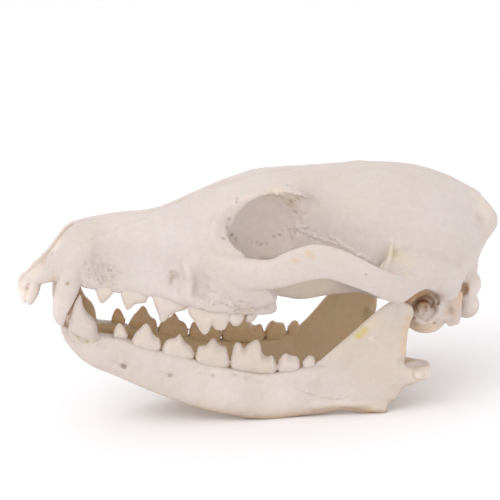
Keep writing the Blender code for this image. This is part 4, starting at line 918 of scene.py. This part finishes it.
def skull_bone(group):
    """The skull without its lower jaw and teeth, as one skin."""
    shape = loft(MIDLINE, SNOUT_WIDTH, SNOUT_WIDEST, SNOUT_UNDER, SNOUT_TOP, SNOUT_UPPER_SQUARE,
                 SNOUT_LOWER_SQUARE)
    bone = finish_shape(shape, "skull", group)
    shapes = [loft(MIDLINE, CASE_WIDTH, CASE_WIDEST, CASE_UNDER, ROOF, CASE_UPPER_SQUARE,
                   CASE_LOWER_SQUARE)]
    for side in (-1, 1):
        for stations in (TEMPORAL_SHELF, POSTORBITAL, ALVEOLAR_RIM, PTERYGOID_PLATE, NUCHAL_CREST):
            shapes.append(bent_bar(stations, side))
        shapes += [ellipsoid(*ball, side) for ball in SKULL_BALLS]
    combine(bone, "UNION", shapes)
    remesh(bone, FUSE_VOXEL, FIRST_ROUNDS)
    carve(bone, SKULL_HOLLOWS)
    shapes = []
    for side in (-1, 1):
        for stations in (ZYGOMATIC_ARCH, JAW_SOCKET_LIP, EAR_TUBE, EAR_LIP):
            shapes.append(bent_bar(stations, side))
        for stations, up in ((ARCH_SWEEP, (1, 0, 0)), (PAROCCIPITAL, (1, 0, 0)), (MASTOID, (1, 0, 0)),
                             (ORBIT_RIM, (0, 1, 0)), (CHEEK_WEB, CHEEK_WEB_UP),
                             (SHELF_SLOPE, SHELF_SLOPE_UP)):
            shapes.append(bent_bar(stations, side, up))
        shapes += [ellipsoid(*fill, side) for fill in SKULL_FILLS]
    combine(bone, "UNION", shapes)
    carve(bone, EAR_HOLLOWS)
    remesh(bone, FUSE_VOXEL, NEXT_ROUNDS)
    for side in (-1, 1):
        combine(bone, "UNION", front_teeth(UPPER_CANINE, UPPER_CUSPS, side, 1))
    remesh(bone, FINE_VOXEL, NEXT_ROUNDS)
    keep_largest(bone)
    mark(bone, SKULL_STROKES, snap=False)
    mark(bone, SKULL_MARKS + scratches(*SCRATCHES))
    pit(bone, SKULL_PITS + DIMPLES, SKULL_PORES, SKULL_PORE_SEED)
    roughen(bone, SKULL_GRAIN)
    return bone


def ramus_rings():
    """Level sections of the ramus of the left half, from below upwards."""
    along_x, across = section(ring_angles(RAMUS_SIDES), RAMUS_SQUARE, RAMUS_SQUARE)
    rings = []
    for z in np.linspace(RAMUS_FRONT[0][0], RAMUS_FRONT[-1][0], RAMUS_LEVELS):
        front, hind = along(RAMUS_FRONT, z), along(RAMUS_HIND, z)
        x = (front + hind) / 2 + along_x * (hind - front) / 2
        y = (RAMUS_OUT + RAMUS_SPREAD * (x - RAMUS_START) + RAMUS_LEAN * max(z, 0.0)
             + across * along(RAMUS_HALF, z))
        rings.append(ring_points(x, y, z))
    return rings


def root_marks():
    """Low swellings of the lower jaw over the root of each cheek tooth."""
    marks = []
    for edge, front_y, hind_y, width in LOWER_BLADES:
        start, end = edge[0][0], edge[-1][0]
        for share in ROOT_SHARES:
            x = start + share * (end - start)
            y = front_y + share * (hind_y - front_y) + width
            z = (edge[0][1] + edge[-1][1]) / 2 - ROOT_BELOW
            path = [(x, y + out, z - down) for out, down in ROOT_PATH]
            marks.append((*ROOT_MARK, *path))
    return tuple(marks)


def jaw_bone(side, group):
    """One half of the lower jaw, without its teeth."""
    middle = [(x, y * side) for x, y in JAW_MIDDLE]
    level = [(x, (along(JAW_UNDER, x) + along(JAW_LINE, x)) / 2) for x, _ in JAW_UNDER]
    shape = loft(middle, JAW_THICK, level, JAW_UNDER, JAW_LINE, JAW_UPPER_SQUARE, JAW_LOWER_SQUARE)
    bone = finish_shape(shape, "jaw_left" if side < 0 else "jaw_right", group)
    shapes = [skin_over([ring * (1, side, 1) for ring in ramus_rings()]),
              ellipsoid(*CONDYLE_FILL, side)]
    for stations in (CHIN_PLATE, CONDYLE, CONDYLE_NECK, NECK_RIDGE, ANGULAR_HOOK):
        shapes.append(bent_bar(stations, side))
    combine(bone, "UNION", shapes)
    remesh(bone, FUSE_VOXEL, FIRST_ROUNDS)
    combine(bone, "UNION", front_teeth(LOWER_CANINE, LOWER_CUSPS, side, -1))
    remesh(bone, FINE_VOXEL, NEXT_ROUNDS)
    keep_largest(bone)
    mark(bone, JAW_STROKES, snap=False)
    mark(bone, root_marks())
    mark(bone, JAW_MARKS)
    pit(bone, JAW_PITS, JAW_PORES, JAW_PORE_SEED)
    roughen(bone, JAW_GRAIN)
    return bone


def tooth_blade(blade, side, down):
    """Cheek tooth whose biting edge follows an outline, with its root in the bone."""
    edge, front_y, hind_y, width = blade
    start, end = edge[0][0], edge[-1][0]
    gum = (edge[0][1] + edge[-1][1]) / 2
    lift = NECK_LIFT if down < 0 else 0.0
    out, rise = section(ring_angles(FINE_BLADE_SIDES), BLADE_SQUARE, BLADE_ROOT_SQUARE)
    rings = []
    for x in np.linspace(start, end, int((end - start) / BLADE_STEP) + 2):
        tip = gum - down * max(down * (gum - along(edge, x)), NECK_TIP * lift)
        inside = min(min(x - start, end - x) / NECK_REACH, 1)
        sink = math.sqrt(1 - (1 - inside) ** 2) if down < 0 else 1.0
        root = gum - down * (lift - (lift + BLADE_ROOT) * sink)
        share = (x - start) / (end - start)
        full = max(1 - abs(2 * share - 1) ** BLADE_PLAN, 0.0) ** (1 / BLADE_PLAN)
        level = gum + BLADE_BULGE * (tip - gum)
        if down * (level - root) > 0:
            level = root
        height = np.where(rise > 0, tip - level, level - root)
        middle = front_y + (hind_y - front_y) * share
        across = middle + width * max(full, BLADE_END) * out
        rings.append(ring_points(x, across * side, level + height * rise))
    return skin_over(rings)


def tooth_row(name, blades, sides, down, group):
    """The cheek teeth as one skin."""
    shapes = [tooth_blade(blade, side, down) for side in sides for blade in blades]
    row = finish_shape(shapes[0], name, group)
    combine(row, "UNION", shapes[1:])
    remesh(row, TOOTH_VOXEL, TOOTH_ROUNDS)
    roughen(row, TOOTH_GRAIN)
    return row


def new_material(name):
    """New material, with its nodes and the links between them."""
    material = bpy.data.materials.new(name)
    material.use_nodes = True
    return material, material.node_tree.nodes, material.node_tree.links


def bone_material(name, grain, roughness):
    """Cast bone: stained ivory with a fine grain, and painted shade that darkens and warms its recesses.
    """
    material, nodes, links = new_material(name)
    surface = nodes["Principled BSDF"]
    surface.inputs["Roughness"].default_value = roughness
    surface.inputs["IOR"].default_value = 1.45
    surface.inputs["Subsurface Weight"].default_value = 0.25
    surface.inputs["Subsurface Radius"].default_value = (1.0, 0.55, 0.3)
    surface.inputs["Subsurface Scale"].default_value = 0.004
    place = nodes.new("ShaderNodeTexCoord")
    colour = nodes.new("ShaderNodeVertexColor")
    colour.layer_name = "tint"
    tinted, normal = colour.outputs["Color"], None
    for scale, dark, light, relief in MOTTLES:
        grit = nodes.new("ShaderNodeTexNoise")
        grit.inputs["Scale"].default_value = scale
        grit.inputs["Detail"].default_value = 4.0
        links.new(place.outputs["Object"], grit.inputs["Vector"])
        ramp = nodes.new("ShaderNodeValToRGB")
        for stop, at, shade in zip(ramp.color_ramp.elements, (0.35, 0.65), (dark, light)):
            stop.position = at
            stop.color = shade
        links.new(grit.outputs["Fac"], ramp.inputs["Fac"])
        layer = nodes.new("ShaderNodeMix")
        layer.data_type = "RGBA"
        layer.blend_type = "MULTIPLY"
        layer.inputs["Factor"].default_value = 1.0
        links.new(tinted, layer.inputs[MIX_A])
        links.new(ramp.outputs["Color"], layer.inputs[MIX_B])
        tinted = layer.outputs[MIX_RESULT]
        if relief:
            bump = nodes.new("ShaderNodeBump")
            bump.inputs["Strength"].default_value = grain
            bump.inputs["Distance"].default_value = relief
            links.new(grit.outputs["Fac"], bump.inputs["Height"])
            if normal:
                links.new(normal, bump.inputs["Normal"])
            normal = bump.outputs["Normal"]
    links.new(normal, surface.inputs["Normal"])
    # Painted shade: recesses are multiplied towards a tan by how hidden they are
    recess = nodes.new("ShaderNodeAmbientOcclusion")
    recess.samples = 8
    recess.inputs["Distance"].default_value = 0.022
    depth = nodes.new("ShaderNodeMapRange")
    depth.inputs["From Min"].default_value = 0.62
    depth.inputs["From Max"].default_value = 0.08
    links.new(recess.outputs["AO"], depth.inputs["Value"])
    recess_shade = nodes.new("ShaderNodeMix")
    recess_shade.data_type = "RGBA"
    recess_shade.blend_type = "MULTIPLY"
    recess_shade.inputs[MIX_B].default_value = (0.70, 0.52, 0.33, 1)
    links.new(depth.outputs["Result"], recess_shade.inputs["Factor"])
    links.new(tinted, recess_shade.inputs[MIX_A])
    links.new(recess_shade.outputs[MIX_RESULT], surface.inputs["Base Color"])
    return material


def dress(made, place, colours, material, nodes_replaced):
    """Finish a piece: colour, world place, material, and what it stands for."""
    tint(made, *colours)
    made.data.transform(Matrix.Translation(Vector(place) * MM) @ Matrix.Rotation(NOSE_UP, 4, "Y"))
    made.data.polygons.foreach_set("use_smooth", np.ones(len(made.data.polygons), bool))
    made.data.update()
    made.data.materials.clear()
    made.data.materials.append(material)
    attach(made, "root")
    if nodes_replaced:
        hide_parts(*nodes_replaced)


def block(low, high):
    """Block between two corners."""
    size = (Vector(high) - Vector(low)) * MM
    middle = (Vector(high) + Vector(low)) / 2 * MM
    shape = bmesh.new()
    bmesh.ops.create_cube(shape, size=1.0,
                          matrix=Matrix.Translation(middle) @ Matrix.Diagonal((*size, 1)))
    return shape


def trim(made, side):
    """Cut a lower jaw piece at the floor and at the midline."""
    near, far = sorted((side * GAP / 2, -side * FAR / 2))
    combine(made, "DIFFERENCE", (block((-FAR, -FAR, -FAR), (FAR, FAR, 0)),
                                 block((-FAR, near, -FAR / 2), (FAR, far, FAR / 2))))


def build_object():
    """Skull, lower jaw halves and teeth."""
    group = new_group("canid_skull")
    bone = bone_material("bone", grain=0.35, roughness=0.42)
    enamel = bone_material("tooth", grain=0.12, roughness=0.3)
    # Painted shade in the bottoms of the skull's pits
    shades = tuple((*pit_reach, SHADE_SHARE, SHADE) for *pit_reach, _ in SKULL_PITS)
    skull = skull_bone(group)
    dress(skull, SKULL_PLACE, (SKULL_BONE, SKULL_STAINS_AND_PAINTED_LIGHT + shades, PALATE_SHADE), bone,
          ("facial_skull", "braincase", "zygomatic_arch_left", "zygomatic_arch_right"))
    upper = tooth_row("upper_teeth", UPPER_BLADES, (-1, 1), 1, group)
    dress(upper, SKULL_PLACE, (TOOTH, (), INNER_SHADE), enamel, ())
    for side, name in ((-1, "left"), (1, "right")):
        jaw = jaw_bone(side, group)
        dress(jaw, JAW_PLACE, (JAW_BONE, JAW_STAINS_AND_PAINTED_LIGHT, INNER_SHADE), bone, ("mandible_" + name,))
        trim(jaw, side)
        row = tooth_row("lower_teeth_" + name, LOWER_BLADES, (side,), -1, group)
        dress(row, JAW_PLACE, (TOOTH, (), INNER_SHADE), enamel, ())


# Camera of the photo, in the frame of a skull pitched 7 degrees nose up, and the part's pitch
CAMERA_TURN = math.radians(-6.0)
CAMERA_RISE = math.radians(14.5)
CAMERA_LENS = 144.0
CAMERA_SENSOR = 36.0
CAMERA_AIM = (-3.44, 0.0, 65.07)
CAMERA_AWAY = 808.96
CAMERA_PITCH = NOSE_UP - math.radians(7.0)
CAMERA_SKULL = (-92.25, 0.0, 53.38)


def build_camera():
    """The photo's camera, which leans with the skull."""
    lean = Matrix.Rotation(CAMERA_PITCH, 3, "Y")
    back = Vector((math.sin(CAMERA_TURN) * math.cos(CAMERA_RISE),
                   -math.cos(CAMERA_TURN) * math.cos(CAMERA_RISE), math.sin(CAMERA_RISE)))
    shift = Vector(SKULL_PLACE) - lean @ Vector(CAMERA_SKULL)
    place = lean @ (Vector(CAMERA_AIM) + back * CAMERA_AWAY) + shift
    lens = bpy.data.cameras.new("camera")
    lens.lens = CAMERA_LENS
    lens.sensor_width = CAMERA_SENSOR
    lens.clip_start = 0.01
    lens.clip_end = 20.0
    camera = bpy.data.objects.new("camera", lens)
    camera.matrix_world = (Matrix.Translation(place * MM)
                           @ (lean @ back.to_track_quat("Z", "Y").to_matrix()).to_4x4())
    bpy.context.scene.collection.objects.link(camera)
    bpy.context.scene.camera = camera


def add_area(name, place, aim, size, energy, colour):
    """Soft square light that looks at a point."""
    light = bpy.data.lights.new(name, "AREA")
    light.size = size
    light.energy = energy
    light.color = colour
    made = bpy.data.objects.new(name, light)
    made.location = place
    made.rotation_euler = (Vector(place) - Vector(aim)).to_track_quat("Z", "Y").to_euler()
    bpy.context.scene.collection.objects.link(made)


def build_stage():
    """Pale floor, white surroundings and soft lights."""
    shape = bmesh.new()
    bmesh.ops.create_circle(shape, cap_ends=True, segments=96, radius=6.0)
    floor = finish_shape(shape, "floor", bpy.context.scene.collection)
    material, nodes, _ = new_material("floor")
    surface = nodes["Principled BSDF"]
    surface.inputs["Base Color"].default_value = (0.93, 0.925, 0.94, 1)
    surface.inputs["Roughness"].default_value = 0.9
    surface.inputs["Specular IOR Level"].default_value = 0.1
    floor.data.materials.append(material)
    world = bpy.data.worlds.new("surroundings")
    world.use_nodes = True
    sky = world.node_tree.nodes["Background"]
    sky.inputs["Color"].default_value = (1.0, 0.985, 0.985, 1)
    sky.inputs["Strength"].default_value = 1.05
    bpy.context.scene.world = world
    bpy.context.scene.view_settings.view_transform = "Standard"
    for light in LIGHTS:
        add_area(*light)


build_object()
build_camera()
build_stage()
